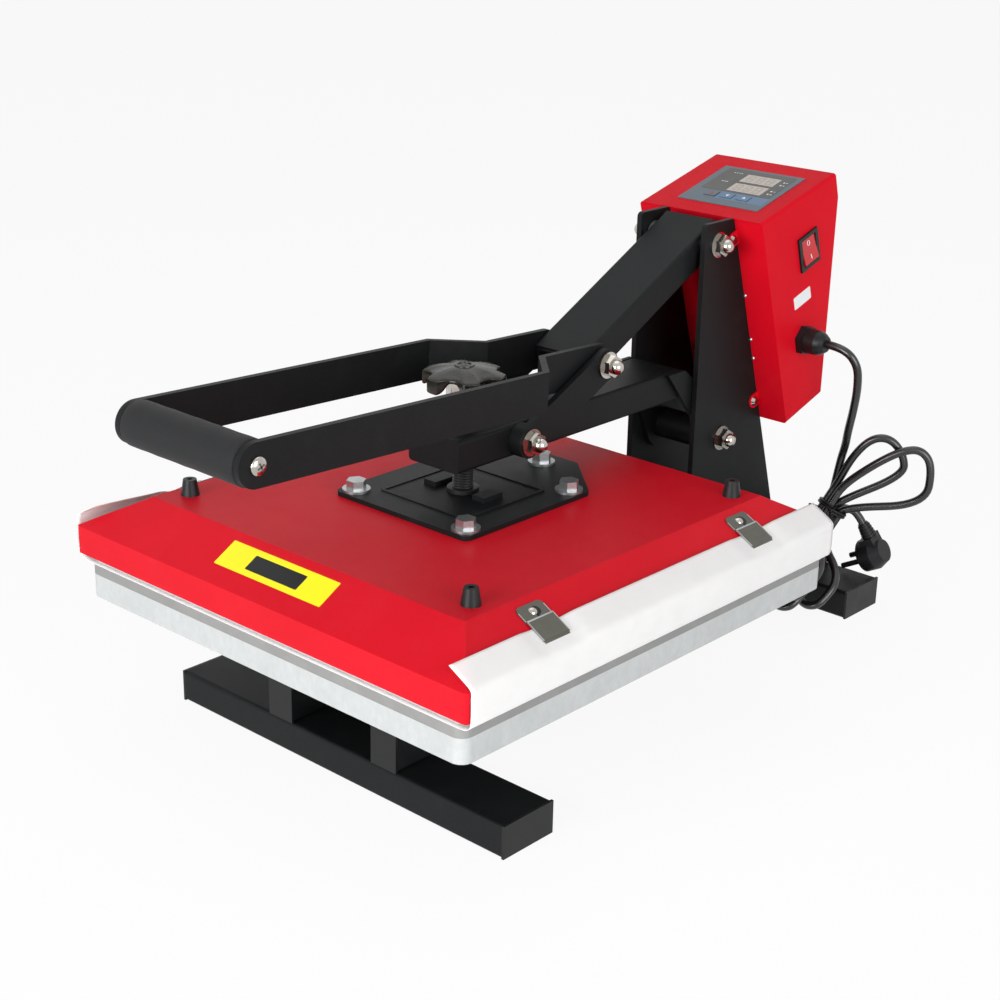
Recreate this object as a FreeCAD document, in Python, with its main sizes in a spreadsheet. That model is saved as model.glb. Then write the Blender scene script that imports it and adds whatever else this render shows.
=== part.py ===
import FreeCAD, Part
import math
import os
import re
import Sketcher

# Flat clamshell heat press. Millimetres, +Z up, +Y to the rear, +X to the operator's right.
# The origin lies on the table under the middle of the press.

V = FreeCAD.Vector
doc = FreeCAD.newDocument("flat_heat_press")

SIZES = {
    # upper platen and its cover
    "platen_y": -74.6, "platen_side": 380, "lower_long": 399, "heating_thick": 16, "heating_corner": 8,
    "cover_side": 394, "front_reach": 7, "cover_top_side": 314, "lip_height": 21, "slope_height": 22.5,
    "cover_wall": 1.2, "cover_rise": 6, "cover_corner": 3, "collar_hole_radius": 14,
    "bumper_offset": 141.5, "bumper_height": 12, "bumper_radius": 7, "bumper_top_radius": 5,
    "bumper_hole_radius": 2, "bumper_hole_deep": 4,
    "mount_thick": 3.6, "mount_half": 67, "mount_rear": 65, "mount_tail": 107.5,
    "mount_tail_half": 20, "mount_corner": 6, "mount_bolt_offset": 55.5, "tail_bolt_reach": 88,
    "mount_bolt_radius": 4, "mount_bolt_flats": 13, "mount_bolt_head": 6.5, "mount_bolt_grip": 8,
    "mount_washer_radius": 10.5, "mount_washer_thick": 1.8,
    "strap_offset": 24.5, "strap_wide": 12, "strap_long": 20, "strap_high": 4,
    "ridge_half": 42, "ridge_wide": 2.5, "ridge_high": 0.8,
    "insulation_side": 300, "element_radius": 4, "element_pitch": 80, "element_reach": 130,
    "sheet_thick": 0.3, "sheet_over": 0.5, "sheet_off_slope": 0.6, "sheet_off_lip": 2,
    "sheet_overlap": 18.5, "sheet_fold": 6, "sheet_tuck": 8,
    "clip_wide": 25, "clip_thick": 1, "clip_inner": 13, "clip_outer": 16.6, "clip_start": 34.3,
    "clip_front_y": -112, "clip_rear_y": 114.5, "clip_step": 1.1, "clip_corner": 4,
    "clip_screw_radius": 2, "clip_screw_head": 4.2, "clip_screw_inset": 6,
    # lower platen
    "lower_thick": 18, "lower_corner": 9, "lower_rib": 8, "pocket_deep": 10, "pocket_count": 4,
    "pad_thick": 8.5, "press_gap": 0.2,
    # stand
    "foot_wide": 50, "foot_high": 25, "front_foot_long": 333, "rear_foot_long": 231.2,
    "tube_wall": 1.8, "tube_corner": 3, "foot_cap": 2, "front_foot_reach": 110.2,
    "rear_foot_reach": 387.2, "rail_wide": 25, "rail_high": 50, "rail_offset": 54,
    "bearer_wide": 40, "bearer_high": 28, "bearer_long": 260, "bearer_offset": 120,
    "bearer_bolt_radius": 4, "bearer_bolt_flats": 13, "bearer_bolt_head": 5.5,
    "base_plate_wide": 133, "base_plate_thick": 5, "base_plate_margin": 6.5, "base_plate_long": 133,
    # posts and pivots
    "post_reach": 238.5, "post_gap": 60, "post_thick": 4.5, "post_high": 272,
    "post_top_deep": 37.2, "post_lean": 17.6, "post_corner": 4,
    "lever_axis_inset": 17.5, "lever_axis_drop": 18, "arm_axis_inset": 37, "arm_axis_high": 87.5,
    "pin_radius": 6, "pin_play": 0.05, "washer_radius": 10.3, "washer_thick": 1.5,
    "nut_flats": 15, "nut_thick": 6.2, "dome_radius": 5.8, "dome_rise": 1.2,
    # arm
    "arm_wide": 50, "arm_high": 25, "arm_wall": 2.5, "arm_clearance": 25.9,
    "arm_front_reach": 31.5, "arm_rear_reach": 228, "arm_corner": 3, "hinge_thick": 4,
    "hinge_root": 21, "hinge_boss_radius": 22, "hinge_throat_y": 32.5, "hinge_throat_z": 23.5,
    "arm_bush_radius": 13, "bush_gap": 0.4, "screw_block_long": 30,
    # links and lever
    "pin_setback": 33, "link_run": 85.5, "link_rise": 41.5, "link_wide": 25, "link_thick": 5,
    "link_gap": 1.6, "boss_radius": 12.5, "running_gap": 0.3, "lever_overhang": 10,
    "lever_bush_radius": 9.5, "bar_thick": 5, "bar_high": 30, "bar_outer": 56, "joggle_start": 67,
    "joggle_run": 31, "joggle_bend": 6, "grip_reach": 365.5, "grip_rise": 16,
    "grip_radius": 15.75, "grip_rod_radius": 8, "grip_end_gap": 0.3, "grip_screw_radius": 4,
    "grip_screw_deep": 20, "grip_head_radius": 6.4, "grip_head_thick": 4,
    # pressure screw and knob
    "screw_radius": 8, "screw_play": 0.08, "flange_radius": 12, "flange_thick": 4,
    "collar_thick": 6, "screw_end": 2, "knob_lift": 29, "knob_nut_flats": 24, "knob_nut_thick": 13,
    "knob_radius": 31, "knob_rim": 10, "knob_high": 16.5, "knob_lobes": 6, "knob_cap_radius": 9,
    "valley_radius": 13, "valley_reach": 37.5,
    # control box, in its own leaning frame
    "box_deep": 107.7, "box_fall": 5, "box_rear_drop": 27, "box_foot_deep": 54.5, "box_high": 188,
    "box_wide": 123, "box_wall": 1.2, "box_corner": 3, "ear_radius": 6, "ear_reach": 6.5,
    "ear_upper": 16, "ear_lower": 168, "ear_screw_radius": 2.5, "ear_head_radius": 4.5,
    "ear_head_thick": 2.6,
    "panel_wide": 80, "panel_long": 69, "panel_x": 4.5, "panel_deep": 52, "panel_thick": 0.6,
    "window_wide": 33.5, "window_long": 15, "window_x": 11.3, "window_near": 51.5,
    "window_far": 69.8, "board_drop": 10.4, "board_thick": 1.6, "board_long": 62,
    "board_wide": 72, "standoff_radius": 3,
    "key_wide": 11, "key_long": 8, "key_thick": 1.6, "key_proud": 0.5, "key_gap": 0.3,
    "key_stem_radius": 1.5, "key_stem_gap": 0.7, "set_key_x": -12.3, "down_key_x": 3.4,
    "up_key_x": 19.6, "key_deep": 34,
    "bezel_deep": 27, "bezel_high": 30, "bezel_thick": 2, "bezel_rim": 2.2, "bezel_y": 56.5,
    "bezel_z": 51, "housing_long": 18, "rocker_gap": 0.35, "rocker_tilt": 8, "rocker_face": 4,
    "rocker_root": 5, "trunnion_radius": 1.5,
    "gland_y": 36, "gland_z": 125, "gland_nut_flats": 22.5, "gland_nut_thick": 6,
    "gland_long": 23.5, "gland_radius": 10.5, "gland_mouth_radius": 6.5, "gland_cap_long": 10,
    "gland_shoulder_long": 4, "gland_shoulder_radius": 9,
    "relay_wide": 45, "relay_high": 60, "relay_deep": 23, "relay_z": 130,
    # mains cord
    "cord_radius": 3.5, "tie_wide": 9, "tie_thick": 1.5, "strand_pitch": 8.2,
    "tail_fold": 8, "tail_run": 18,
}

# Places that follow from the sizes. Each line may use the ones above it.
PLACES = {
    "box_lean_off": "atan2(box_fall; box_deep)",
    "rail_top": "foot_high + rail_high",
    "base_top": "rail_top + base_plate_thick",
    "bearer_top": "rail_top + bearer_high",
    "lower_top": "bearer_top + lower_thick",
    "pad_top": "lower_top + pad_thick",
    "sheet_bottom": "pad_top + press_gap",
    "sheet_long": "lower_long + 2 * sheet_over",
    "heating_bottom": "sheet_bottom + sheet_thick",
    "heating_top": "heating_bottom + heating_thick",
    "lip_bottom": "heating_bottom + cover_rise",
    "lip_top": "lip_bottom + lip_height",
    "cover_top": "lip_top + slope_height",
    "mount_top": "cover_top + mount_thick",
    "cover_half": "cover_side / 2",
    "cover_top_half": "cover_top_side / 2",
    "slope": "slope_height / (cover_half - cover_top_half)",
    "slope_lean": "atan2(slope_height; cover_half - cover_top_half)",
    "wall_drop": "cover_wall / cos(slope_lean)",
    "inner_half": "cover_half - cover_wall",
    "inner_lip_top": "lip_top + cover_wall * slope - wall_drop",
    "inner_top_half": "cover_top_half - (wall_drop - cover_wall) / slope",
    "arm_bottom": "mount_top + arm_clearance",
    "arm_top": "arm_bottom + arm_high",
    "arm_z": "arm_bottom + arm_high / 2",
    "arm_front": "platen_y - arm_front_reach",
    "arm_rear": "platen_y + arm_rear_reach",
    "front_foot_y": "platen_y - front_foot_reach",
    "rear_foot_y": "platen_y + rear_foot_reach",
    "rail_front": "front_foot_y - foot_wide / 2",
    "rail_rear": "rear_foot_y + foot_wide / 2",
    "post_front": "platen_y + post_reach",
    "post_inner": "post_gap / 2",
    "post_outer": "post_gap / 2 + post_thick",
    "post_top": "base_top + post_high",
    "post_top_rear": "post_front + post_top_deep",
    "post_foot_rear": "post_top_rear + post_high * tan(post_lean)",
    "lever_axis_y": "post_front + lever_axis_inset",
    "lever_axis_z": "post_top - lever_axis_drop",
    "arm_axis_y": "post_front + arm_axis_inset",
    "arm_axis_z": "base_top + arm_axis_high",
    "pin_y": "platen_y + pin_setback",
    "pin_z": "arm_z",
    "link_y": "pin_y + link_run",
    "link_z": "pin_z + link_rise",
    "link_span": "sqrt(link_run ^ 2 + link_rise ^ 2)",
    "link_lean": "atan2(link_rise; link_run)",
    "link_inner": "arm_wide / 2 + bar_thick + link_gap",
    "link_outer": "link_inner + link_thick",
    "lever_run": "lever_axis_y - link_y",
    "lever_climb": "lever_axis_z - link_z",
    "lever_span": "sqrt(lever_run ^ 2 + lever_climb ^ 2)",
    "lever_lean": "atan2(lever_climb; lever_run)",
    "grip_span": "sqrt(grip_reach ^ 2 + grip_rise ^ 2)",
    "grip_lean": "atan2(grip_rise; grip_reach)",
    "grip_y": "link_y - grip_reach",
    "grip_z": "link_z + grip_rise",
    "bar_inner": "arm_wide / 2",
    "joggle_turn": "atan2(bar_outer - bar_inner; joggle_run)",
    "joggle_shift": "bar_thick * tan(joggle_turn / 2)",
    "hinge_rear_dy": "arm_rear + 1 - arm_axis_y",
    "hinge_rear_dz": "arm_top - arm_axis_z",
    "hinge_rear_turn": "atan2(hinge_rear_dz; hinge_rear_dy)"
                       " - acos(hinge_boss_radius / sqrt(hinge_rear_dy ^ 2 + hinge_rear_dz ^ 2))",
    "hinge_throat_turn": "atan2(hinge_throat_z; 0 - hinge_throat_y)"
                         " + acos(hinge_boss_radius / sqrt(hinge_throat_y ^ 2 + hinge_throat_z ^ 2))",
    "flange_bottom": "mount_top + running_gap",
    "collar_top": "cover_top - running_gap",
    "screw_bottom": "collar_top - collar_thick - screw_end",
    "knob_bottom": "arm_top + knob_lift",
    "box_half": "box_wide / 2",
    "top_lean": "post_lean * 1 deg - box_lean_off",
    "box_top_drop": "box_wall / cos(box_lean_off)",
    "box_rake": "(box_deep - box_foot_deep) / (box_high - box_rear_drop)",
    "box_rake_wall": "box_wall * sqrt(1 + box_rake ^ 2)",
    "element_z": "heating_top + element_radius",
    "insulation_bottom": "element_z + element_radius + running_gap",
}


def with_sheets(text, own=None):
    def full(found):
        word = found.group(0)
        if word in SIZES:
            return "dims." + word
        if word in PLACES and own is None:
            return "places." + word
        return word
    return re.sub(r"[A-Za-z_][A-Za-z_0-9]*", full, str(text))


dims = doc.addObject("Spreadsheet::Sheet", "dims")
for row, (alias, value) in enumerate(SIZES.items(), 1):
    dims.set(f"A{row}", alias)
    dims.set(f"B{row}", str(value))
    dims.setAlias(f"B{row}", alias)
places = doc.addObject("Spreadsheet::Sheet", "places")
for row, (alias, text) in enumerate(PLACES.items(), 1):
    places.set(f"A{row}", alias)
    places.set(f"B{row}", "=" + with_sheets(text, own=True))
    places.setAlias(f"B{row}", alias)
doc.recompute()


def size(text):
    value = places.evalExpression(with_sheets(text))
    return float(getattr(value, "Value", value))


def bind(piece, prop, text):
    piece.setExpression(prop, with_sheets(text))


# Plain solids

AXES = {"X": V(1, 0, 0), "Y": V(0, 1, 0), "Z": V(0, 0, 1)}
TURN_FROM_Z = {
    "X": FreeCAD.Rotation(V(0, 1, 0), 90),
    "Y": FreeCAD.Rotation(V(1, 0, 0), -90),
    "Z": FreeCAD.Rotation(),
}
nodes = []


def node(piece, name):
    piece.Label = name
    nodes.append(piece)
    return piece


def put(piece, x, y, z):
    bind(piece, "Placement.Base.x", x)
    bind(piece, "Placement.Base.y", y)
    bind(piece, "Placement.Base.z", z)
    return piece


def tilt(piece, y, z, angle, x="0"):
    piece.Placement = FreeCAD.Placement(V(), FreeCAD.Rotation(AXES["X"], 10))
    bind(piece, "Placement.Rotation.Angle", angle)
    return put(piece, x, y, z)


def box(name, corner, lengths):
    piece = doc.addObject("Part::Box", name)
    for prop, text in zip(("Length", "Width", "Height"), lengths):
        bind(piece, prop, text)
    return put(piece, *corner)


def rod(name, axis, start, radius, length):
    piece = doc.addObject("Part::Cylinder", name)
    bind(piece, "Radius", radius)
    bind(piece, "Height", length)
    piece.Placement = FreeCAD.Placement(V(), TURN_FROM_Z[axis])
    return put(piece, *start)


def cone(name, axis, start, radius_start, radius_end, length):
    piece = doc.addObject("Part::Cone", name)
    bind(piece, "Radius1", radius_start)
    bind(piece, "Radius2", radius_end)
    bind(piece, "Height", length)
    piece.Placement = FreeCAD.Placement(V(), TURN_FROM_Z[axis])
    return put(piece, *start)


def hexagon(name, axis, start, flats, length):
    piece = doc.addObject("Part::Prism", name)
    piece.Polygon = 6
    bind(piece, "Circumradius", f"({flats}) / 2 / cos(30)")
    bind(piece, "Height", length)
    piece.Placement = FreeCAD.Placement(V(), TURN_FROM_Z[axis])
    return put(piece, *start)


def ball(name, centre, radius):
    piece = doc.addObject("Part::Sphere", name)
    bind(piece, "Radius", radius)
    return put(piece, *centre)


def fuse(name, *pieces):
    piece = doc.addObject("Part::MultiFuse", name)
    piece.Shapes = list(pieces)
    return piece


def cut(name, base, *tools):
    piece = doc.addObject("Part::Cut", name)
    piece.Base = base
    piece.Tool = tools[0] if len(tools) == 1 else fuse(name + "_holes", *tools)
    return piece


def common(name, *pieces):
    piece = doc.addObject("Part::MultiCommon", name)
    piece.Shapes = list(pieces)
    return piece


def group(name, *pieces):
    piece = doc.addObject("Part::Compound", name)
    piece.Links = list(pieces)
    return piece


def on_box(piece):
    """Leans a piece of the control box back against the posts."""
    return tilt(piece, "post_top_rear", "post_top", "post_lean")


def on_top(piece):
    """Sets a piece on the control box's sloping top."""
    return tilt(piece, "post_top_rear", "post_top", "top_lean")


def mirrored(name, source):
    piece = doc.addObject("Part::Mirroring", name)
    piece.Source = source
    piece.Normal = AXES["X"]
    return piece


# Sketched solids

def origin_plane(body, role):
    for feature in body.Origin.OriginFeatures:
        if feature.Role == role:
            return feature


def new_sketch(body, plane, offset="0"):
    sketch = body.newObject("Sketcher::SketchObject", body.Name + "_outline")
    sketch.AttachmentSupport = [(origin_plane(body, plane + "_Plane"), "")]
    sketch.MapMode = "FlatFace"
    bind(sketch, "AttachmentOffset.Base.z", offset)
    return sketch


def place_point(sketch, geometry, end, point):
    for kind, text in zip(("DistanceX", "DistanceY"), point):
        index = sketch.addConstraint(Sketcher.Constraint(kind, -1, 1, geometry, end, size(text)))
        bind(sketch, f"Constraints[{index}]", text)


def draw_polygon(sketch, points):
    spots = [V(size(x), size(y), 0) for x, y in points]
    first = sketch.GeometryCount
    count = len(points)
    for i in range(count):
        sketch.addGeometry(Part.LineSegment(spots[i], spots[(i + 1) % count]))
    for i in range(count):
        follower = first + (i + 1) % count
        sketch.addConstraint(Sketcher.Constraint("Coincident", first + i, 2, follower, 1))
    for i, point in enumerate(points):
        place_point(sketch, first + i, 1, point)
    return sketch


def draw_circle(sketch, x, y, radius):
    circle = Part.Circle(V(size(x), size(y), 0), V(0, 0, 1), size(radius))
    index = sketch.addGeometry(circle)
    place_point(sketch, index, 3, (x, y))
    constraint = sketch.addConstraint(Sketcher.Constraint("Radius", index, size(radius)))
    bind(sketch, f"Constraints[{constraint}]", radius)
    return sketch


def new_body(name):
    return doc.addObject("PartDesign::Body", name)


def feature(body, kind, profile, prop=None, text=None):
    piece = body.newObject("PartDesign::" + kind, f"{body.Name}_{kind.lower()}")
    piece.Profile = profile
    if prop:
        bind(piece, prop, text)
    return piece


def pad(body, sketch, length):
    return feature(body, "Pad", sketch, "Length", length)


def prism(name, plane, points, start, length):
    body = new_body(name)
    pad(body, draw_polygon(new_sketch(body, plane, start), points), length)
    return body


def turned(name, points):
    body = new_body(name)
    sketch = draw_polygon(new_sketch(body, "XZ"), points)
    spin = feature(body, "Revolution", sketch)
    spin.ReferenceAxis = (sketch, ["V_Axis"])
    spin.Angle = 360
    return body


def is_along(edge, axis):
    if edge.Curve.TypeId != "Part::GeomLine":
        return False
    return abs(edge.Curve.Direction.dot(AXES[axis])) > 0.999


def round_edges(body, radius, wanted):
    doc.recompute()
    tip = body.Tip
    names = [f"Edge{i}" for i, edge in enumerate(tip.Shape.Edges, 1) if wanted(edge)]
    piece = body.newObject("PartDesign::Fillet", body.Name + "_fillet")
    piece.Base = (tip, names)
    bind(piece, "Radius", radius)
    return piece


def centred_rectangle(half_x, half_y, y="0"):
    return [(f"-({half_x})", f"{y} - ({half_y})"), (half_x, f"{y} - ({half_y})"),
            (half_x, f"{y} + ({half_y})"), (f"-({half_x})", f"{y} + ({half_y})")]


def square_tube(name, axis, start, length, wide, high, wall, corner):
    """Hollow section with round corners, its length along X or Y, its start at the lower corner."""
    plane = "YZ" if axis == "X" else "XZ"
    body = new_body(name)
    outline = [("0", "0"), (wide, "0"), (wide, high), ("0", high)]
    pad(body, draw_polygon(new_sketch(body, plane), outline), length)
    round_edges(body, corner, lambda edge: is_along(edge, axis))
    hollow = [(wall, wall), (f"{wide} - {wall}", wall),
              (f"{wide} - {wall}", f"{high} - {wall}"), (wall, f"{high} - {wall}")]
    pocket = feature(body, "Pocket", draw_polygon(new_sketch(body, plane), hollow))
    pocket.Type = "ThroughAll"
    pocket.Reversed = True
    return put(body, *start)


# Stand

def stand_tube(name, long, y):
    tube = square_tube(name, "X", (f"-{long} / 2", f"{y} - foot_wide / 2", "0"), long,
                       "foot_wide", "foot_high", "tube_wall", "tube_corner")
    return node(tube, name)


stand_tube("front_foot", "front_foot_long", "front_foot_y")
stand_tube("rear_foot", "rear_foot_long", "rear_foot_y")


def end_cap(name, x, y, z, wide, high, facing):
    """Flat plastic cap on the end of a tube."""
    if facing == "X":
        flange = box(name + "_flange", (x, y, z), ("foot_cap", wide, high))
    else:
        flange = box(name + "_flange", (x, y, z), (wide, "foot_cap", high))
    return flange


caps = []
for foot, y in (("front_foot", "front_foot_y"), ("rear_foot", "rear_foot_y")):
    for side, x in (("left", f"-({foot}_long / 2 + foot_cap)"), ("right", f"{foot}_long / 2")):
        caps.append(end_cap(f"{foot}_{side}_cap", x, f"{y} - foot_wide / 2", "0",
                            "foot_wide", "foot_high", "X"))
for side, x in (("left", "-rail_offset"), ("right", "rail_offset")):
    for end, y in (("front", "rail_front"), ("rear", "rail_rear - foot_cap")):
        caps.append(end_cap(f"{side}_rail_{end}_cap", f"{x} - rail_wide / 2", y, "foot_high",
                            "rail_wide", "rail_high", "Y"))
node(group("tube_end_caps", *caps), "tube_end_caps")

for side, x in (("left", "-rail_offset"), ("right", "rail_offset")):
    rail = square_tube(side + "_rail", "Y",
                       (f"{x} - rail_wide / 2", "rail_rear - foot_cap", "foot_high"),
                       "rail_rear - rail_front - 2 * foot_cap",
                       "rail_wide", "rail_high", "tube_wall", "tube_corner")
    node(rail, side + "_rail")

bearers = []
for end, y in (("front", "platen_y - bearer_offset"), ("rear", "platen_y + bearer_offset")):
    bearers.append(square_tube(f"{end}_bearer", "X",
                               ("-bearer_long / 2", f"{y} - bearer_wide / 2", "rail_top"),
                               "bearer_long", "bearer_wide", "bearer_high",
                               "tube_wall", "tube_corner"))
bolt_spots = [(x, y) for x in ("-bearer_long / 2 + 22", "bearer_long / 2 - 22")
              for y in ("platen_y - bearer_offset", "platen_y + bearer_offset")]
bolt_holes = [rod(f"bearer_hole_{i}", "Z", (x, y, "rail_top - 1"), "bearer_bolt_radius + pin_play",
                  "bearer_high + 2") for i, (x, y) in enumerate(bolt_spots)]
node(cut("platen_bearers", fuse("bearer_pair", *bearers), *bolt_holes), "platen_bearers")

bolts = []
for i, (x, y) in enumerate(bolt_spots):
    shank = rod(f"bearer_shank_{i}", "Z", (x, y, "rail_top - 1"), "bearer_bolt_radius",
                "bearer_high + 1 + (lower_thick - pocket_deep) + pocket_deep / 2")
    head = hexagon(f"bearer_head_{i}", "Z", (x, y, "rail_top - bearer_bolt_head"),
                   "bearer_bolt_flats", "bearer_bolt_head")
    bolts.append(fuse(f"bearer_bolt_{i}", shank, head))
node(group("bearer_bolts", *bolts), "bearer_bolts")


# Lower platen: a cast plate, ribbed underneath, with a silicone pad on its top

lower = new_body("lower_platen_plate")
sketch = draw_polygon(new_sketch(lower, "XY", "bearer_top"),
                      centred_rectangle("platen_side / 2", "lower_long / 2", "platen_y"))
pad(lower, sketch, "lower_thick")
round_edges(lower, "lower_corner", lambda edge: is_along(edge, "Z"))
pocket_wide = "((platen_side - (pocket_count + 1) * lower_rib) / pocket_count)"
pocket_long = "((lower_long - (pocket_count + 1) * lower_rib) / pocket_count)"
pockets = new_sketch(lower, "XY", "bearer_top")
for column in range(int(SIZES["pocket_count"])):
    left = f"-platen_side / 2 + lower_rib + {column} * ({pocket_wide} + lower_rib)"
    near = "platen_y - lower_long / 2 + lower_rib"
    draw_polygon(pockets, [(left, near), (f"{left} + {pocket_wide}", near),
                           (f"{left} + {pocket_wide}", f"{near} + {pocket_long}"),
                           (left, f"{near} + {pocket_long}")])
ribs = feature(lower, "Pocket", pockets, "Length", "pocket_deep")
ribs.Reversed = True
doc.recompute()
rows = lower.newObject("PartDesign::LinearPattern", "pocket_rows")
rows.Originals = [ribs]
rows.Direction = (pockets, ["V_Axis"])
rows.Occurrences = int(SIZES["pocket_count"])
bind(rows, "Length", f"(pocket_count - 1) * ({pocket_long} + lower_rib)")
lower.Tip = rows
bosses = [rod(f"platen_boss_{i}", "Z", (x, y, "bearer_top"), "bearer_bolt_radius * 2",
              "pocket_deep") for i, (x, y) in enumerate(bolt_spots)]
taps = [rod(f"platen_tap_{i}", "Z", (x, y, "bearer_top - 1"), "bearer_bolt_radius + pin_play",
            "pocket_deep / 2 + lower_thick - pocket_deep + 1.2")
        for i, (x, y) in enumerate(bolt_spots)]
node(cut("lower_platen", fuse("lower_platen_casting", lower, *bosses), *taps), "lower_platen")

silicone = new_body("silicone_pad")
sketch = draw_polygon(new_sketch(silicone, "XY", "lower_top"),
                      centred_rectangle("platen_side / 2", "lower_long / 2", "platen_y"))
pad(silicone, sketch, "pad_thick")
round_edges(silicone, "lower_corner", lambda edge: is_along(edge, "Z"))
node(silicone, "silicone_pad")


# Posts

def dome_nut(name, side, x, y, z):
    """Washer and dome nut on the end of a bolt that lies along X, starting at x."""
    way = 1 if side == "right" else -1

    def reach(start, length):
        return start if way > 0 else f"-({start}) - ({length})"
    nut = f"{x} + washer_thick"
    cap = f"{nut} + nut_thick"
    ball_x = f"{cap} + dome_rise" if way > 0 else f"-({cap} + dome_rise)"
    return [
        rod(name + "_washer", "X", (reach(x, "washer_thick"), y, z), "washer_radius", "washer_thick"),
        hexagon(name + "_nut", "X", (reach(nut, "nut_thick"), y, z), "nut_flats", "nut_thick"),
        rod(name + "_cap", "X", (reach(cap, "dome_rise"), y, z), "dome_radius", "dome_rise"),
        ball(name + "_dome", (ball_x, y, z), "dome_radius"),
    ]


def pivot_bolt(name, reach_x, y, z):
    shank = rod(name + "_shank", "X", (f"-({reach_x}) - washer_thick", y, z), "pin_radius",
                f"2 * ({reach_x}) + 2 * washer_thick")
    ends = dome_nut(name + "_left", "left", reach_x, y, z)
    ends += dome_nut(name + "_right", "right", reach_x, y, z)
    return node(fuse(name, shank, *ends), name)


base_y = "post_front - base_plate_margin"
base = box("base_blank", ("-base_plate_wide / 2", base_y, "rail_top"),
           ("base_plate_wide", "base_plate_long", "base_plate_thick"))
node(base, "post_base_plate")

post_outline = [("post_front", "base_top"), ("post_foot_rear", "base_top"),
                ("post_top_rear", "post_top"), ("post_front", "post_top")]
for side, x in (("left", "-post_outer"), ("right", "post_inner")):
    body = prism(side + "_post_blank", "YZ", post_outline, x, "post_thick")
    round_edges(body, "post_corner",
                lambda edge: is_along(edge, "X") and edge.CenterOfMass.z > size("post_top") - 1)
    holes = [rod(f"{side}_post_{name}_hole", "X", (f"{x} - 1", y, z), "pin_radius + pin_play",
                 "post_thick + 2")
             for name, y, z in (("lever", "lever_axis_y", "lever_axis_z"),
                                ("arm", "arm_axis_y", "arm_axis_z"))]
    ears = [rod(f"{side}_post_{name}_ear_hole", "X", (f"{x} - 1", "-ear_reach", f"-ear_{name}"),
                "ear_screw_radius + pin_play", "post_thick + 2") for name in ("upper", "lower")]
    holes.append(on_box(group(side + "_post_ear_holes", *ears)))
    node(cut(side + "_post_plate", body, *holes), side + "_post_plate")

pivot_bolt("lever_pivot_bolt", "post_outer", "lever_axis_y", "lever_axis_z")
pivot_bolt("arm_pivot_bolt", "post_outer", "arm_axis_y", "arm_axis_z")


def bush(name, y, z, radius):
    half = "(post_inner - bush_gap)"
    body = rod(name + "_blank", "X", (f"-{half}", y, z), radius, f"2 * {half}")
    bore = rod(name + "_bore", "X", (f"-{half} - 1", y, z), "pin_radius + pin_play",
               f"2 * {half} + 2")
    return node(cut(name, body, bore), name)


# Arm

arm = square_tube("arm_section", "Y", ("-arm_wide / 2", "arm_rear", "arm_bottom"),
                  "arm_rear - arm_front", "arm_wide", "arm_high", "arm_wall", "arm_corner")
arm_end = box("arm_end_plate", ("-arm_wide / 2 + arm_wall", "arm_front", "arm_bottom + arm_wall"),
              ("arm_wide - 2 * arm_wall", "arm_wall", "arm_high - 2 * arm_wall"))
arm_holes = [
    rod("arm_screw_hole", "Z", ("0", "platen_y", "arm_bottom - 1"), "screw_radius + 1",
        "arm_high + 2"),
    rod("arm_pin_hole", "X", ("-arm_wide / 2 - 1", "pin_y", "pin_z"), "pin_radius + pin_play",
        "arm_wide + 2"),
]
node(cut("arm_tube", fuse("arm_closed", arm, arm_end), *arm_holes), "arm_tube")

hinge_outline = [
    ("arm_rear - hinge_root", "arm_top"),
    ("arm_rear + 1", "arm_top"),
    ("arm_axis_y + hinge_boss_radius * cos(hinge_rear_turn)",
     "arm_axis_z + hinge_boss_radius * sin(hinge_rear_turn)"),
    ("arm_axis_y", "arm_axis_z"),
    ("arm_axis_y + hinge_boss_radius * cos(hinge_throat_turn)",
     "arm_axis_z + hinge_boss_radius * sin(hinge_throat_turn)"),
    ("arm_axis_y - hinge_throat_y", "arm_axis_z + hinge_throat_z"),
]
hinges = []
for side, x in (("left", "-arm_wide / 2 - hinge_thick"), ("right", "arm_wide / 2")):
    web = prism(side + "_hinge_web", "YZ", hinge_outline, x, "hinge_thick")
    boss = rod(side + "_hinge_boss", "X", (x, "arm_axis_y", "arm_axis_z"), "hinge_boss_radius",
               "hinge_thick")
    hole = rod(side + "_hinge_hole", "X", (f"{x} - 1", "arm_axis_y", "arm_axis_z"),
               "arm_bush_radius", "hinge_thick + 2")
    hinges.append(cut(side + "_hinge_plate", fuse(side + "_hinge_blank", web, boss), hole))
node(group("arm_hinge_plates", *hinges), "arm_hinge_plates")
bush("arm_bush", "arm_axis_y", "arm_axis_z", "arm_bush_radius")
node(rod("lower_link_pin", "X", ("-arm_wide / 2", "pin_y", "pin_z"), "pin_radius", "arm_wide"),
     "lower_link_pin")

block = box("screw_block", ("-arm_wide / 2 + arm_wall", "platen_y - screw_block_long / 2",
                            "arm_bottom + arm_wall"),
            ("arm_wide - 2 * arm_wall", "screw_block_long", "arm_high - 2 * arm_wall"))
thread = rod("screw_block_hole", "Z", ("0", "platen_y", "arm_bottom"),
             "screw_radius + screw_play", "arm_high")
node(cut("screw_nut", block, thread), "screw_nut")


# Links, which turn on the upper bolt

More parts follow.
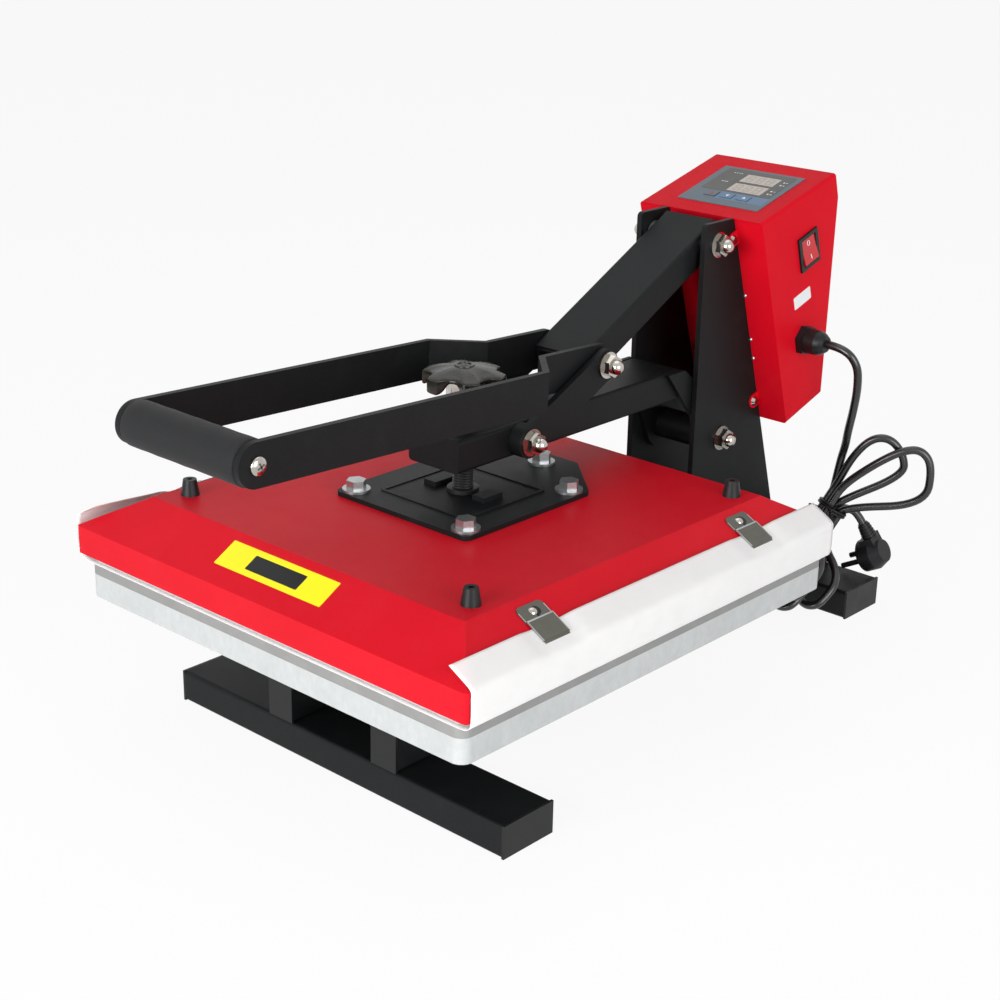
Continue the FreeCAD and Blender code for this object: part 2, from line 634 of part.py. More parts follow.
def link_side(side):
    way = 1 if side == "right" else -1
    x = "link_inner" if way > 0 else "-link_outer"
    flat = box(side + "_link_flat", (x, "0", "-link_wide / 2"),
               ("link_thick", "link_span", "link_wide"))
    ends = [rod(f"{side}_link_end_{i}", "X", (x, y, "0"), "link_wide / 2", "link_thick")
            for i, y in enumerate(("0", "link_span"))]
    near = "arm_wide / 2 + running_gap"
    boss = rod(side + "_link_boss", "X", (near if way > 0 else "-link_inner", "0", "0"),
               "boss_radius", f"link_inner - ({near})")
    bore = near if way > 0 else "-link_outer"
    holes = [
        rod(side + "_link_bore", "X", (f"{bore} - 1", "0", "0"), "pin_radius + pin_play",
            f"link_outer - ({near}) + 2"),
        rod(side + "_link_hole", "X", (f"{x} - 1", "link_span", "0"), "pin_radius + pin_play",
            "link_thick + 2"),
    ]
    link = cut(side + "_link", fuse(side + "_link_blank", flat, boss, *ends), *holes)
    return node(tilt(link, "pin_y", "pin_z", "link_lean"), side + "_link")


link_side("left")
link_side("right")

lower_ends = []
for side in ("left", "right"):
    start = "arm_wide / 2 + running_gap"
    stub_long = f"link_outer + washer_thick + 2 - ({start})"
    stub = start if side == "right" else f"-({start}) - ({stub_long})"
    lower_ends.append(fuse(
        side + "_lower_end",
        rod(side + "_stub", "X", (stub, "pin_y", "pin_z"), "pin_radius", stub_long),
        *dome_nut(side + "_lower", side, "link_outer", "pin_y", "pin_z")))
node(group("lower_link_nuts", *lower_ends), "lower_link_nuts")
pivot_bolt("upper_link_bolt", "(link_outer + running_gap)", "link_y", "link_z")


# Lever

lever = square_tube("lever_section", "Y", ("-arm_wide / 2", "lever_overhang + 4", "-arm_high / 2"),
                    "lever_span + 2 * lever_overhang + 4", "arm_wide", "arm_high", "arm_wall",
                    "arm_corner")
lever_holes = [
    rod("lever_bush_hole", "X", ("-arm_wide / 2 - 1", "0", "0"), "lever_bush_radius",
        "arm_wide + 2"),
    rod("lever_bolt_hole", "X", ("-arm_wide / 2 - 1", "-lever_span", "0"),
        "pin_radius + pin_play", "arm_wide + 2"),
]
node(tilt(cut("lever_tube", lever, *lever_holes), "lever_axis_y", "lever_axis_z", "lever_lean"),
     "lever_tube")
bush("lever_bush", "lever_axis_y", "lever_axis_z", "lever_bush_radius")


def handle_bar(side):
    """Flat bar on edge: it runs along the lever tube, then steps outwards past the knob."""
    bend = "-joggle_start"
    far = "-joggle_start - joggle_run"
    tip = "-grip_span - bar_high"
    outline = [
        ("bar_inner", "bar_high"), ("bar_inner", bend), ("bar_outer", far), ("bar_outer", tip),
        ("bar_outer + bar_thick", tip), ("bar_outer + bar_thick", f"{far} + joggle_shift"),
        ("bar_inner + bar_thick", f"{bend} + joggle_shift"), ("bar_inner + bar_thick", "bar_high"),
    ]
    body = prism(side + "_bar_plan", "XY", outline, "-bar_high", "2 * bar_high")
    face = fuse(side + "_bar_face",
                box(side + "_bar_flat", ("bar_inner - 5", "-grip_span", "-bar_high / 2"),
                    ("bar_outer", "grip_span", "bar_high")),
                rod(side + "_bar_lever_end", "X", ("bar_inner - 5", "0", "0"), "bar_high / 2",
                    "bar_outer"),
                rod(side + "_bar_grip_end", "X", ("bar_inner - 5", "-grip_span", "0"),
                    "bar_high / 2", "bar_outer"))
    blank = common(side + "_bar_blank", body, face)
    holes = [
        rod(side + "_bar_bolt_hole", "X", ("bar_inner - 1", "0", "0"), "pin_radius + pin_play",
            "bar_thick + 2"),
        rod(side + "_bar_screw_hole", "X", ("bar_outer - 1", "-grip_span", "0"),
            "grip_screw_radius + pin_play", "bar_thick + 2"),
    ]
    bar = cut(side + "_bar", blank, *holes)
    return tilt(bar, "link_y", "link_z", "-grip_lean")


node(handle_bar("right"), "right_handle_bar")
node(mirrored("left_bar_mirrored", handle_bar("left")), "left_handle_bar")

rod_half = "bar_outer"
grip_core = rod("grip_core", "X", (f"-{rod_half}", "grip_y", "grip_z"), "grip_rod_radius",
                f"2 * {rod_half}")
grip_taps = [rod(f"grip_tap_{i}", "X", (x, "grip_y", "grip_z"), "grip_screw_radius + pin_play",
                 "grip_screw_deep + 1")
             for i, x in enumerate((f"-{rod_half} - 1", f"{rod_half} - grip_screw_deep"))]
node(cut("grip_rod", grip_core, *grip_taps), "grip_rod")
foam = rod("foam_blank", "X", (f"-{rod_half} + grip_end_gap", "grip_y", "grip_z"), "grip_radius",
           f"2 * ({rod_half} - grip_end_gap)")
foam_bore = rod("foam_bore", "X", (f"-{rod_half} - 1", "grip_y", "grip_z"), "grip_rod_radius",
                f"2 * {rod_half} + 2")
node(cut("foam_grip", foam, foam_bore), "foam_grip")
grip_screws = []
outer_face = "bar_outer + bar_thick"
for side in ("left", "right"):
    long = "grip_screw_deep - 1 + bar_thick"
    shank = "bar_outer - grip_screw_deep + 1" if side == "right" else f"-({outer_face})"
    head = outer_face if side == "right" else f"-({outer_face}) - grip_head_thick"
    grip_screws.append(fuse(
        side + "_grip_screw",
        rod(side + "_grip_shank", "X", (shank, "grip_y", "grip_z"), "grip_screw_radius", long),
        rod(side + "_grip_head", "X", (head, "grip_y", "grip_z"), "grip_head_radius",
            "grip_head_thick")))
node(group("grip_end_screws", *grip_screws), "grip_end_screws")


# Upper platen: pressed cover over the heating platen

def platen_square(body, half, z):
    """Outline about the platen's centre that reaches a little further at the front."""
    front, rear = f"platen_y - {half} - front_reach", f"platen_y + {half}"
    outline = [(f"-({half})", front), (half, front), (half, rear), (f"-({half})", rear)]
    return draw_polygon(new_sketch(body, "XY", z), outline)


cover = new_body("cover_shell")
pad(cover, platen_square(cover, "cover_half", "lip_bottom"), "lip_height")
hood = feature(cover, "AdditiveLoft", platen_square(cover, "cover_half", "lip_top"))
hood.Sections = [platen_square(cover, "cover_top_half", "cover_top")]
hood.Ruled = True


def rises(edge):
    ends = [vertex.Point.z for vertex in edge.Vertexes]
    return max(ends) - min(ends) > 1


round_edges(cover, "cover_corner", rises)
hollow = feature(cover, "Pocket", platen_square(cover, "inner_half", "lip_bottom"), "Length",
                 "inner_lip_top - lip_bottom")
hollow.Reversed = True
vault = feature(cover, "SubtractiveLoft", platen_square(cover, "inner_half", "inner_lip_top"))
vault.Sections = [platen_square(cover, "inner_top_half", "cover_top - cover_wall")]
vault.Ruled = True

bolt_places = [(f"{sx}mount_bolt_offset", f"platen_y {sy} mount_bolt_offset")
               for sx in ("-", "") for sy in ("-", "+")]
bolt_places.append(("0", "platen_y + tail_bolt_reach"))
clip_rows = [(end, f"platen_y + clip_{end}_y") for end in ("front", "rear")]
cover_holes = [rod("cover_collar_hole", "Z", ("0", "platen_y", "cover_top - 5"),
                   "collar_hole_radius", "10")]
for i, (x, y) in enumerate(bolt_places):
    cover_holes.append(rod(f"cover_bolt_hole_{i}", "Z", (x, y, "cover_top - 5"),
                           "mount_bolt_radius + pin_play", "10"))
screw_x = "(cover_half - clip_start + clip_screw_inset * cos(slope_lean))"
screw_z = "(cover_top - slope * (" + screw_x + " - cover_top_half))"
for end, y in clip_rows:
    for side, way in (("left", -1), ("right", 1)):
        hole = rod(f"cover_{side}_{end}_clip_hole", "Z", ("0", "0", "-6"),
                   "clip_screw_radius + pin_play", "12")
        carrier = group(f"cover_{side}_{end}_clip_drill", hole)
        carrier.Placement = FreeCAD.Placement(V(), FreeCAD.Rotation(V(0, way, 0), 10))
        bind(carrier, "Placement.Rotation.Angle", "slope_lean")
        put(carrier, f"{way} * {screw_x}", y, screw_z)
        cover_holes.append(carrier)
node(cut("upper_cover", cover, *cover_holes), "upper_cover")

bumpers = []
for i, (sx, sy) in enumerate(((-1, -1), (1, -1), (-1, 1), (1, 1))):
    x = f"{sx} * bumper_offset"
    y = f"platen_y + {sy} * bumper_offset"
    body = cone(f"bumper_body_{i}", "Z", (x, y, "cover_top"), "bumper_radius",
                "bumper_top_radius", "bumper_height")
    hole = rod(f"bumper_hole_{i}", "Z", (x, y, "cover_top + bumper_height - bumper_hole_deep"),
               "bumper_hole_radius", "bumper_hole_deep + 1")
    bumpers.append(cut(f"bumper_{i}", body, hole))
node(group("rubber_bumpers", *bumpers), "rubber_bumpers")

mount = new_body("mounting_blank")
outline = [
    ("-mount_half", "platen_y - mount_half"), ("mount_half", "platen_y - mount_half"),
    ("mount_half", "platen_y + mount_rear"), ("mount_tail_half", "platen_y + mount_tail"),
    ("-mount_tail_half", "platen_y + mount_tail"), ("-mount_half", "platen_y + mount_rear"),
]
pad(mount, draw_polygon(new_sketch(mount, "XY", "cover_top"), outline), "mount_thick")
round_edges(mount, "mount_corner", lambda edge: is_along(edge, "Z"))
raised = []
for side, way in (("left", -1), ("right", 1)):
    raised.append(box(side + "_strap", (f"{way} * strap_offset - strap_wide / 2",
                                        "platen_y - strap_long / 2", "mount_top"),
                      ("strap_wide", "strap_long", "strap_high")))
    raised.append(box(side + "_ridge", (f"{way} * ridge_half - ridge_wide / 2",
                                        "platen_y - ridge_half", "mount_top"),
                      ("ridge_wide", "2 * ridge_half", "ridge_high")))
for end, way in (("front", -1), ("rear", 1)):
    raised.append(box(end + "_ridge", ("-ridge_half", f"platen_y + {way} * ridge_half - ridge_wide / 2",
                                       "mount_top"),
                      ("2 * ridge_half", "ridge_wide", "ridge_high")))
mount_holes = [rod(f"mount_hole_{i}", "Z", (x, y, "cover_top - 1"), "mount_bolt_radius + pin_play",
                   "mount_thick + 2") for i, (x, y) in enumerate(bolt_places)]
mount_holes.append(rod("mount_screw_hole", "Z", ("0", "platen_y", "cover_top - 1"),
                       "screw_radius + running_gap", "mount_thick + 2"))
node(cut("mounting_plate", fuse("mounting_pressing", mount, *raised), *mount_holes),
     "mounting_plate")

head_z = "mount_top + mount_washer_thick"
shank_long = "mount_top - heating_top + mount_bolt_grip"
mount_bolts = []
for i, (x, y) in enumerate(bolt_places):
    mount_bolts.append(fuse(
        f"mount_bolt_{i}",
        rod(f"mount_shank_{i}", "Z", (x, y, "heating_top - mount_bolt_grip"),
            "mount_bolt_radius", f"{shank_long} + 1"),
        rod(f"mount_washer_{i}", "Z", (x, y, "mount_top"), "mount_washer_radius",
            "mount_washer_thick"),
        hexagon(f"mount_head_{i}", "Z", (x, y, head_z), "mount_bolt_flats", "mount_bolt_head")))
node(group("mount_bolts", *mount_bolts), "mount_bolts")

pad_block = box("insulation_block", ("-insulation_side / 2", "platen_y - insulation_side / 2",
                                     "insulation_bottom"),
                ("insulation_side", "insulation_side",
                 "cover_top - cover_wall - insulation_bottom"))
insulation_holes = [rod(f"insulation_hole_{i}", "Z", (x, y, "insulation_bottom - 1"),
                        "mount_bolt_radius + pin_play", "slope_height + lip_height")
                    for i, (x, y) in enumerate(bolt_places)]
insulation_holes.append(rod("insulation_screw_hole", "Z",
                            ("0", "platen_y", "screw_bottom - 10"), "collar_hole_radius",
                            "slope_height + lip_height"))
node(cut("insulation_pad", pad_block, *insulation_holes), "insulation_pad")

heating = new_body("heating_plate")
pad(heating, platen_square(heating, "platen_side / 2", "heating_bottom"), "heating_thick")
round_edges(heating, "heating_corner", lambda edge: is_along(edge, "Z"))
heating_taps = [rod(f"heating_tap_{i}", "Z", (x, y, "heating_top - mount_bolt_grip - 0.2"),
                    "mount_bolt_radius + pin_play", "mount_bolt_grip + 1")
                for i, (x, y) in enumerate(bolt_places)]
node(cut("heating_platen", heating, *heating_taps), "heating_platen")


# Rod element: four runs joined by half turns, lying on the heating platen

element_path = []
run_count = 4
level = size("element_z")
for run in range(run_count):
    x = (run - (run_count - 1) / 2) * size("element_pitch")
    way = 1 if run % 2 == 0 else -1
    reach = size("element_reach") * way
    centre = size("platen_y")
    element_path.append(Part.LineSegment(V(x, centre - reach, level), V(x, centre + reach, level)))
    if run < run_count - 1:
        half = size("element_pitch") / 2
        element_path.append(Part.Arc(V(x, centre + reach, level),
                                     V(x + half, centre + reach + way * half, level),
                                     V(x + 2 * half, centre + reach, level)))
element_wire = Part.Wire([part.toShape() for part in element_path])
start = V(-(run_count - 1) / 2 * size("element_pitch"), size("platen_y") - size("element_reach"),
          level)
ring = Part.Wire([Part.makeCircle(size("element_radius"), start, AXES["Y"])])
element = doc.addObject("Part::Feature", "heating_element")
element.Shape = element_wire.makePipeShell([ring], True, False)
node(element, "heating_element")


# PTFE sheet: flat under the heating platen, folded up round both long edges of the cover

def sheet_line(lift):
    """Half of the sheet's section: along the slope, over the fold and under the platen."""
    lean = math.radians(size("slope_lean"))
    edge_x = size("cover_half - sheet_overlap")
    off = size("sheet_off_slope") + lift
    lip_x = size("cover_half + sheet_off_lip") + lift
    low = size("heating_bottom") - size("sheet_thick") / 2 - lift
    slope_z = size("cover_top") + off / math.cos(lean)

    def z_on_slope(x):
        return slope_z - size("slope") * (x - size("cover_top_half"))
    start = V(edge_x + lift * math.sin(lean), 0, z_on_slope(edge_x + lift * math.sin(lean)))
    fold = V(lip_x, 0, z_on_slope(lip_x))
    tuck = V(lip_x, 0, low)
    return [start, fold, tuck, V(0, 0, low)]


def rounded_path(points, radii):
    """Straight runs joined by tangent arcs; one radius for each inner point."""
    edges = []
    here = points[0]
    for before, corner, after, radius in zip(points, points[1:], points[2:], radii):
        way_in = (corner - before).normalize()
        way_out = (after - corner).normalize()
        half_turn = way_in.getAngle(way_out) / 2
        back = radius * math.tan(half_turn)
        first = corner - way_in * back
        last = corner + way_out * back
        to_centre = (way_out - way_in).normalize()
        middle = corner + to_centre * (radius / math.cos(half_turn) - radius)
        edges.append(Part.makeLine(here, first))
        edges.append(Part.Arc(first, middle, last).toShape())
        here = last
    edges.append(Part.makeLine(here, points[-1]))
    return edges


half_thick = size("sheet_thick") / 2
outer = sheet_line(half_thick)
inner = sheet_line(-half_thick)
fold_radii = [size("sheet_fold"), size("sheet_tuck")]
outer_edges = rounded_path(outer, [radius + half_thick for radius in fold_radii])
inner_edges = rounded_path(inner, [radius - half_thick for radius in fold_radii])
rim = [Part.makeLine(inner[0], outer[0]), Part.makeLine(outer[-1], inner[-1])]
section = Part.Face(Part.Wire(Part.__sortEdges__(outer_edges + inner_edges + rim)))
half_sheet = section.extrude(V(0, size("sheet_long"), 0))
other_half = half_sheet.mirror(V(), V(1, 0, 0))
ptfe = doc.addObject("Part::Feature", "ptfe_sheet")
ptfe.Shape = half_sheet.fuse(other_half).removeSplitter()
ptfe.Placement = FreeCAD.Placement(V(0, size("platen_y - sheet_long / 2"), 0), FreeCAD.Rotation())
node(ptfe, "ptfe_sheet")


# Sheet clips: a leaf on the cover, a step, and a leaf over the sheet's edge

def clip(side, end, y):
    way = 1 if side == "right" else -1
    body = new_body(f"{side}_{end}_clip")
    outline = [
        ("0", "0"), ("clip_inner", "0"), ("clip_inner", "clip_step"),
        ("clip_inner + clip_outer", "clip_step"),
        ("clip_inner + clip_outer", "clip_step + clip_thick"),
        ("clip_inner - clip_thick", "clip_step + clip_thick"),
        ("clip_inner - clip_thick", "clip_thick"), ("0", "clip_thick"),
    ]
    pad(body, draw_polygon(new_sketch(body, "XZ", "-clip_wide / 2"), outline), "clip_wide")
    round_edges(body, "clip_corner",
                lambda edge: is_along(edge, "Z") and edge.CenterOfMass.x < 0.01)
    hole = rod(f"{side}_{end}_clip_hole", "Z", ("clip_screw_inset", "0", "-1"),
               "clip_screw_radius + pin_play", "clip_thick + 2")
    leaf = cut(f"{side}_{end}_clip_leaf", body, hole)
    if way < 0:
        leaf = mirrored(f"{side}_{end}_clip_turned", leaf)
    carrier = group(f"{side}_{end}_clip_seat", leaf)
    return seat_on_slope(carrier, way, y)


def seat_on_slope(carrier, way, y):
    """Sets a piece, drawn flat with +X down the slope, on the left or right slope."""
    carrier.Placement = FreeCAD.Placement(V(), FreeCAD.Rotation(V(0, way, 0), 10))
    bind(carrier, "Placement.Rotation.Angle", "slope_lean")
    return put(carrier, f"{way} * (cover_half - clip_start)", y,
               "cover_top - slope * (cover_half - clip_start - cover_top_half)")


clips = []
clip_screws = []
for end, y in clip_rows:
    for side, way in (("left", -1), ("right", 1)):
        clips.append(clip(side, end, y))
        tag = f"{side}_{end}_clip_screw"
        x = f"{way} * clip_screw_inset"
        head = ball(tag + "_head", (x, "0", "clip_thick - 2.6"), "clip_screw_head")
        above = box(tag + "_above", (f"{x} - 6", "-6", "clip_thick"), ("12", "12", "6"))
        screw = fuse(tag, common(tag + "_dome", head, above),
                     rod(tag + "_shank", "Z", (x, "0", "-6"), "clip_screw_radius",
                         "clip_thick + 6.5"))
        clip_screws.append(seat_on_slope(group(tag + "_seat", screw), way, y))
node(group("sheet_clips", *clips), "sheet_clips")
node(group("clip_screws", *clip_screws), "clip_screws")


# Pressure screw with its flange above the mounting plate and its collar below

screw_parts = [
    rod("screw_rod", "Z", ("0", "platen_y", "screw_bottom"), "screw_radius",
        "knob_bottom - screw_bottom"),
    rod("screw_flange", "Z", ("0", "platen_y", "flange_bottom"), "flange_radius",
        "flange_thick"),
    rod("screw_collar", "Z", ("0", "platen_y", "collar_top - collar_thick"), "flange_radius",
        "collar_thick"),
    hexagon("knob_nut", "Z", ("0", "platen_y", "knob_bottom - knob_nut_thick"),
            "knob_nut_flats", "knob_nut_thick"),
]
node(fuse("pressure_screw", *screw_parts), "pressure_screw")

knob = turned("knob_blank", [
    ("0", "0"), ("knob_radius - 1.5", "0"), ("knob_radius", "1.5"), ("knob_radius", "knob_rim - 2"),
    ("knob_radius - 2", "knob_rim"), ("knob_cap_radius + 1", "knob_high - 1"),
    ("knob_cap_radius", "knob_high"), ("0", "knob_high"),
])
valley = draw_circle(new_sketch(knob, "XY", "-1"), "valley_reach", "0", "valley_radius")
scoop = feature(knob, "Pocket", valley, "Length", "knob_high + 2")
scoop.Reversed = True
doc.recompute()
lobes = knob.newObject("PartDesign::PolarPattern", "knob_lobes_pattern")
lobes.Originals = [scoop]
lobes.Axis = (valley, ["N_Axis"])
lobes.Angle = 360
lobes.Occurrences = int(SIZES["knob_lobes"])
knob.Tip = lobes
knob.Placement = FreeCAD.Placement(V(), FreeCAD.Rotation(AXES["Z"], 42))
put(knob, "0", "platen_y", "knob_bottom")
node(knob, "star_knob")


# Control box, drawn upright with its front face on Y = 0 and leant back against the posts

shell = new_body("box_shell")
outline = [("0", "0"), ("box_deep", "-box_fall"), ("box_deep", "-box_rear_drop"),
           ("box_foot_deep", "-box_high"), ("0", "-box_high")]
pad(shell, draw_polygon(new_sketch(shell, "YZ", "-box_half"), outline), "box_wide")
round_edges(shell, "box_corner", lambda edge: edge.CenterOfMass.y > 1)
inner = [
    ("-1", "-box_top_drop + box_fall / box_deep"),
    ("box_deep - box_wall", "-box_fall * (box_deep - box_wall) / box_deep - box_top_drop"),
    ("box_deep - box_wall", "-box_rear_drop + (box_rake_wall - box_wall) / box_rake"),
    ("box_deep - (box_high - box_wall - box_rear_drop) * box_rake - box_rake_wall",
     "-box_high + box_wall"),
    ("-1", "-box_high + box_wall"),
]
box_room = prism("box_room", "YZ", inner, "-box_half + box_wall", "box_wide - 2 * box_wall")

window_slot = box("window_slot", ("window_x - window_wide / 2 - 1", "window_near - window_long / 2 - 1",
                                  "-20"),
                  ("window_wide + 2", "window_far - window_near + window_long + 2", "30"))
key_slots = [box(f"{name}_slot", (f"{name}_x - key_wide / 2 - key_gap",
                                  "key_deep - key_long / 2 - key_gap", "-box_wall - 2"),
                 ("key_wide + 2 * key_gap", "key_long + 2 * key_gap", "box_wall + 4"))
             for name in ("set_key", "down_key", "up_key")]
top_cuts = group("top_cuts", window_slot, *key_slots)
top_cuts.Placement = FreeCAD.Placement(V(), FreeCAD.Rotation(V(-1, 0, 0), 10))
bind(top_cuts, "Placement.Rotation.Angle", "box_lean_off")
rocker_slot = box("rocker_slot", ("box_half - 10", "bezel_y - bezel_deep / 2 + bezel_rim",
                                  "-bezel_z - bezel_high / 2 + bezel_rim"),
                  ("20", "bezel_deep - 2 * bezel_rim", "bezel_high - 2 * bezel_rim"))
gland_hole = rod("gland_hole", "X", ("box_half - 10", "gland_y", "-gland_z"),
                 "gland_mouth_radius + pin_play", "20")
node(on_box(cut("control_box_shell", shell, box_room, top_cuts, rocker_slot, gland_hole)),
     "control_box_shell")

plate_parts = [box("front_panel", ("-box_half + box_wall", "0", "-box_high + box_wall"),
                   ("box_wide - 2 * box_wall", "box_wall", "box_high - 2 * box_wall - 0.2"))]
ear_holes = []
for side, x in (("left", "-post_outer - box_wall"), ("right", "post_outer")):
    for name in ("upper", "lower"):
        tag = f"{side}_{name}_ear"
        z = f"-ear_{name}"
        plate_parts.append(box(tag + "_strip", (x, "-ear_reach", f"{z} - ear_radius"),
                               ("box_wall", "ear_reach + box_wall / 2", "2 * ear_radius")))
        plate_parts.append(rod(tag + "_tip", "X", (x, "-ear_reach", z), "ear_radius", "box_wall"))
        ear_holes.append(rod(tag + "_hole", "X", (f"{x} - 1", "-ear_reach", z),
                             "ear_screw_radius + pin_play", "box_wall + 2"))
node(on_box(cut("control_box_front", fuse("front_folded", *plate_parts), *ear_holes)),
     "control_box_front")

ear_screws = []
for side, way in (("left", -1), ("right", 1)):
    for name in ("upper", "lower"):
        tag = f"{side}_{name}_ear_screw"
        z = f"-ear_{name}"
        face = "post_outer + box_wall"
        head_x = face if way > 0 else f"-({face}) - ear_head_thick"
        head = cone(tag + "_head", "X", (head_x, "-ear_reach", z),
                    "ear_head_radius" if way > 0 else "ear_head_radius - 1.5",
                    "ear_head_radius - 1.5" if way > 0 else "ear_head_radius", "ear_head_thick")
        shank_x = "post_outer - post_thick + 0.5" if way > 0 else f"-({face})"
        ear_screws.append(fuse(tag, head, rod(tag + "_shank", "X", (shank_x, "-ear_reach", z),
                                              "ear_screw_radius",
                                              "post_thick - 0.5 + box_wall")))
node(on_box(group("box_ear_screws", *ear_screws)), "box_ear_screws")

overlay = box("overlay_blank", ("panel_x - panel_wide / 2", "panel_deep - panel_long / 2", "0"),
              ("panel_wide", "panel_long", "panel_thick"))
overlay_cuts = [box(f"overlay_window_{name}", ("window_x - window_wide / 2",
                                               f"window_{name} - window_long / 2", "-1"),
                    ("window_wide", "window_long", "3")) for name in ("near", "far")]
overlay_cuts += [box(f"overlay_{name}_slot", (f"{name}_x - key_wide / 2 - key_gap",
                                              "key_deep - key_long / 2 - key_gap", "-1"),
                     ("key_wide + 2 * key_gap", "key_long + 2 * key_gap", "3"))
                 for name in ("set_key", "down_key", "up_key")]
node(on_top(cut("panel_overlay", overlay, *overlay_cuts)), "panel_overlay")
windows = [box(f"window_{name}_block", ("window_x - window_wide / 2",
                                        f"window_{name} - window_long / 2", "-board_drop"),
               ("window_wide", "window_long", "board_drop + panel_thick"))
           for name in ("near", "far")]
node(on_top(group("display_windows", *windows)), "display_windows")

board_y = "panel_deep + 2 - board_long / 2"
board_parts = [box("board_plate", ("panel_x - board_wide / 2", board_y,
                                   "-board_drop - board_thick"),
                   ("board_wide", "board_long", "board_thick"))]
for i, (sx, sy) in enumerate(((0, 0), (1, 0), (0, 1), (1, 1))):
    x = f"panel_x - board_wide / 2 + 4 + {sx} * (board_wide - 8)"
    y = f"{board_y} + 4 + {sy} * (board_long - 8)"
    board_parts.append(rod(f"standoff_{i}", "Z", (x, y, "-board_drop"), "standoff_radius",
                           "board_drop - box_wall"))
node(on_top(fuse("control_board", *board_parts)), "control_board")

for name in ("set_key", "down_key", "up_key"):
    cap = box(name + "_cap", (f"{name}_x - key_wide / 2", "key_deep - key_long / 2",
                              "panel_thick + key_proud - key_thick"),
              ("key_wide", "key_long", "key_thick"))
    stem_low = "-board_drop + key_stem_gap"
    stem = rod(name + "_stem", "Z", (f"{name}_x", "key_deep", stem_low), "key_stem_radius",
               f"panel_thick - ({stem_low})")
    node(on_top(fuse(name, cap, stem)), name)

relay = box("relay_block", ("-relay_wide / 2", "box_wall", "-relay_z - relay_high / 2"),
            ("relay_wide", "relay_deep", "relay_high"))
node(on_box(group("relay_on_panel", relay)), "heater_relay")

# Rocker switch in the right-hand wall
slot_deep = "(bezel_deep - 2 * bezel_rim)"
slot_high = "(bezel_high - 2 * bezel_rim)"
bezel_flange = box("bezel_flange", ("box_half", "bezel_y - bezel_deep / 2",
                                    "-bezel_z - bezel_high / 2"),
                   ("bezel_thick", "bezel_deep", "bezel_high"))
housing = box("rocker_housing", ("box_half - housing_long", f"bezel_y - {slot_deep} / 2",
                                 f"-bezel_z - {slot_high} / 2"),
              ("housing_long", slot_deep, slot_high))
cavity = box("rocker_cavity", ("box_half - housing_long + 2", f"bezel_y - {slot_deep} / 2 + 1.5",
                               f"-bezel_z - {slot_high} / 2 + 1"),
             ("housing_long + bezel_thick", f"{slot_deep} - 3", f"{slot_high} - 2"))
trunnion_x = "(box_half + bezel_thick - rocker_face)"
trunnion_hole = rod("trunnion_hole", "Y", (trunnion_x, f"bezel_y - {slot_deep} / 2 - 0.2", "-bezel_z"),
                    "trunnion_radius + pin_play", f"{slot_deep} + 0.4")
node(on_box(cut("rocker_bezel", fuse("bezel_moulding", bezel_flange, housing), cavity,
                trunnion_hole)), "rocker_bezel")

rocker_half = f"({slot_high} / 2 - 1 - rocker_gap)"
rocker_wide = f"({slot_deep} - 3 - 2 * rocker_gap)"
rocker_end = f"{rocker_half} * cos(rocker_tilt)"
rocker_body = new_body("rocker_blank")
rocker_outline = [
    ("-rocker_root", f"-{rocker_half} * 0.55"), ("0", f"-{rocker_half}"),
    (f"rocker_face + {rocker_half} * tan(rocker_tilt) - 1.4", f"-{rocker_half} + 0.9"),
    ("rocker_face - 0.4", "0"),
    (f"rocker_face + {rocker_half} * tan(rocker_tilt) - 1.4", f"{rocker_half} - 0.9"),
    ("0", rocker_half), ("-rocker_root", f"{rocker_half} * 0.55"),
]
pad(rocker_body, draw_polygon(new_sketch(rocker_body, "XZ", f"-{rocker_wide} / 2"), rocker_outline),
    rocker_wide)
trunnions = rod("rocker_trunnions", "Y", ("0", f"-{slot_deep} / 2 + 0.1", "0"), "trunnion_radius",
                f"{slot_deep} - 0.2")
rocker_tilted = group("rocker_tilted", fuse("rocker_whole", rocker_body, trunnions))
rocker_tilted.Placement = FreeCAD.Placement(V(), FreeCAD.Rotation(V(0, -1, 0), 10))
bind(rocker_tilted, "Placement.Rotation.Angle", "rocker_tilt")
put(rocker_tilted, trunnion_x, "bezel_y", "-bezel_z")
node(on_box(group("rocker_seated", rocker_tilted)), "rocker")

# Cord gland
gland_start = "box_half"
gland_step = "box_half + gland_nut_thick + gland_cap_long"
gland_parts = [
    rod("gland_thread", "X", (f"{gland_start} - 12", "gland_y", "-gland_z"),
        "gland_mouth_radius", "12"),
    hexagon("gland_lock", "X", (f"{gland_start} - box_wall - 5", "gland_y", "-gland_z"),
            "gland_nut_flats", "5"),
    hexagon("gland_nut", "X", (gland_start, "gland_y", "-gland_z"), "gland_nut_flats",
            "gland_nut_thick"),
    rod("gland_cap", "X", (f"{gland_start} + gland_nut_thick", "gland_y", "-gland_z"),
        "gland_radius", "gland_cap_long"),
    cone("gland_shoulder", "X", (gland_step, "gland_y", "-gland_z"),
         "gland_radius", "gland_shoulder_radius", "gland_shoulder_long"),
    cone("gland_dome", "X", (f"{gland_step} + gland_shoulder_long", "gland_y", "-gland_z"),
         "gland_shoulder_radius", "gland_mouth_radius",
         "gland_long - gland_nut_thick - gland_cap_long - gland_shoulder_long"),
]
node(on_box(fuse("cord_gland", *gland_parts)), "cord_gland")


# Mains cord: a lead from the gland, a tied hank, and a tail to the plug

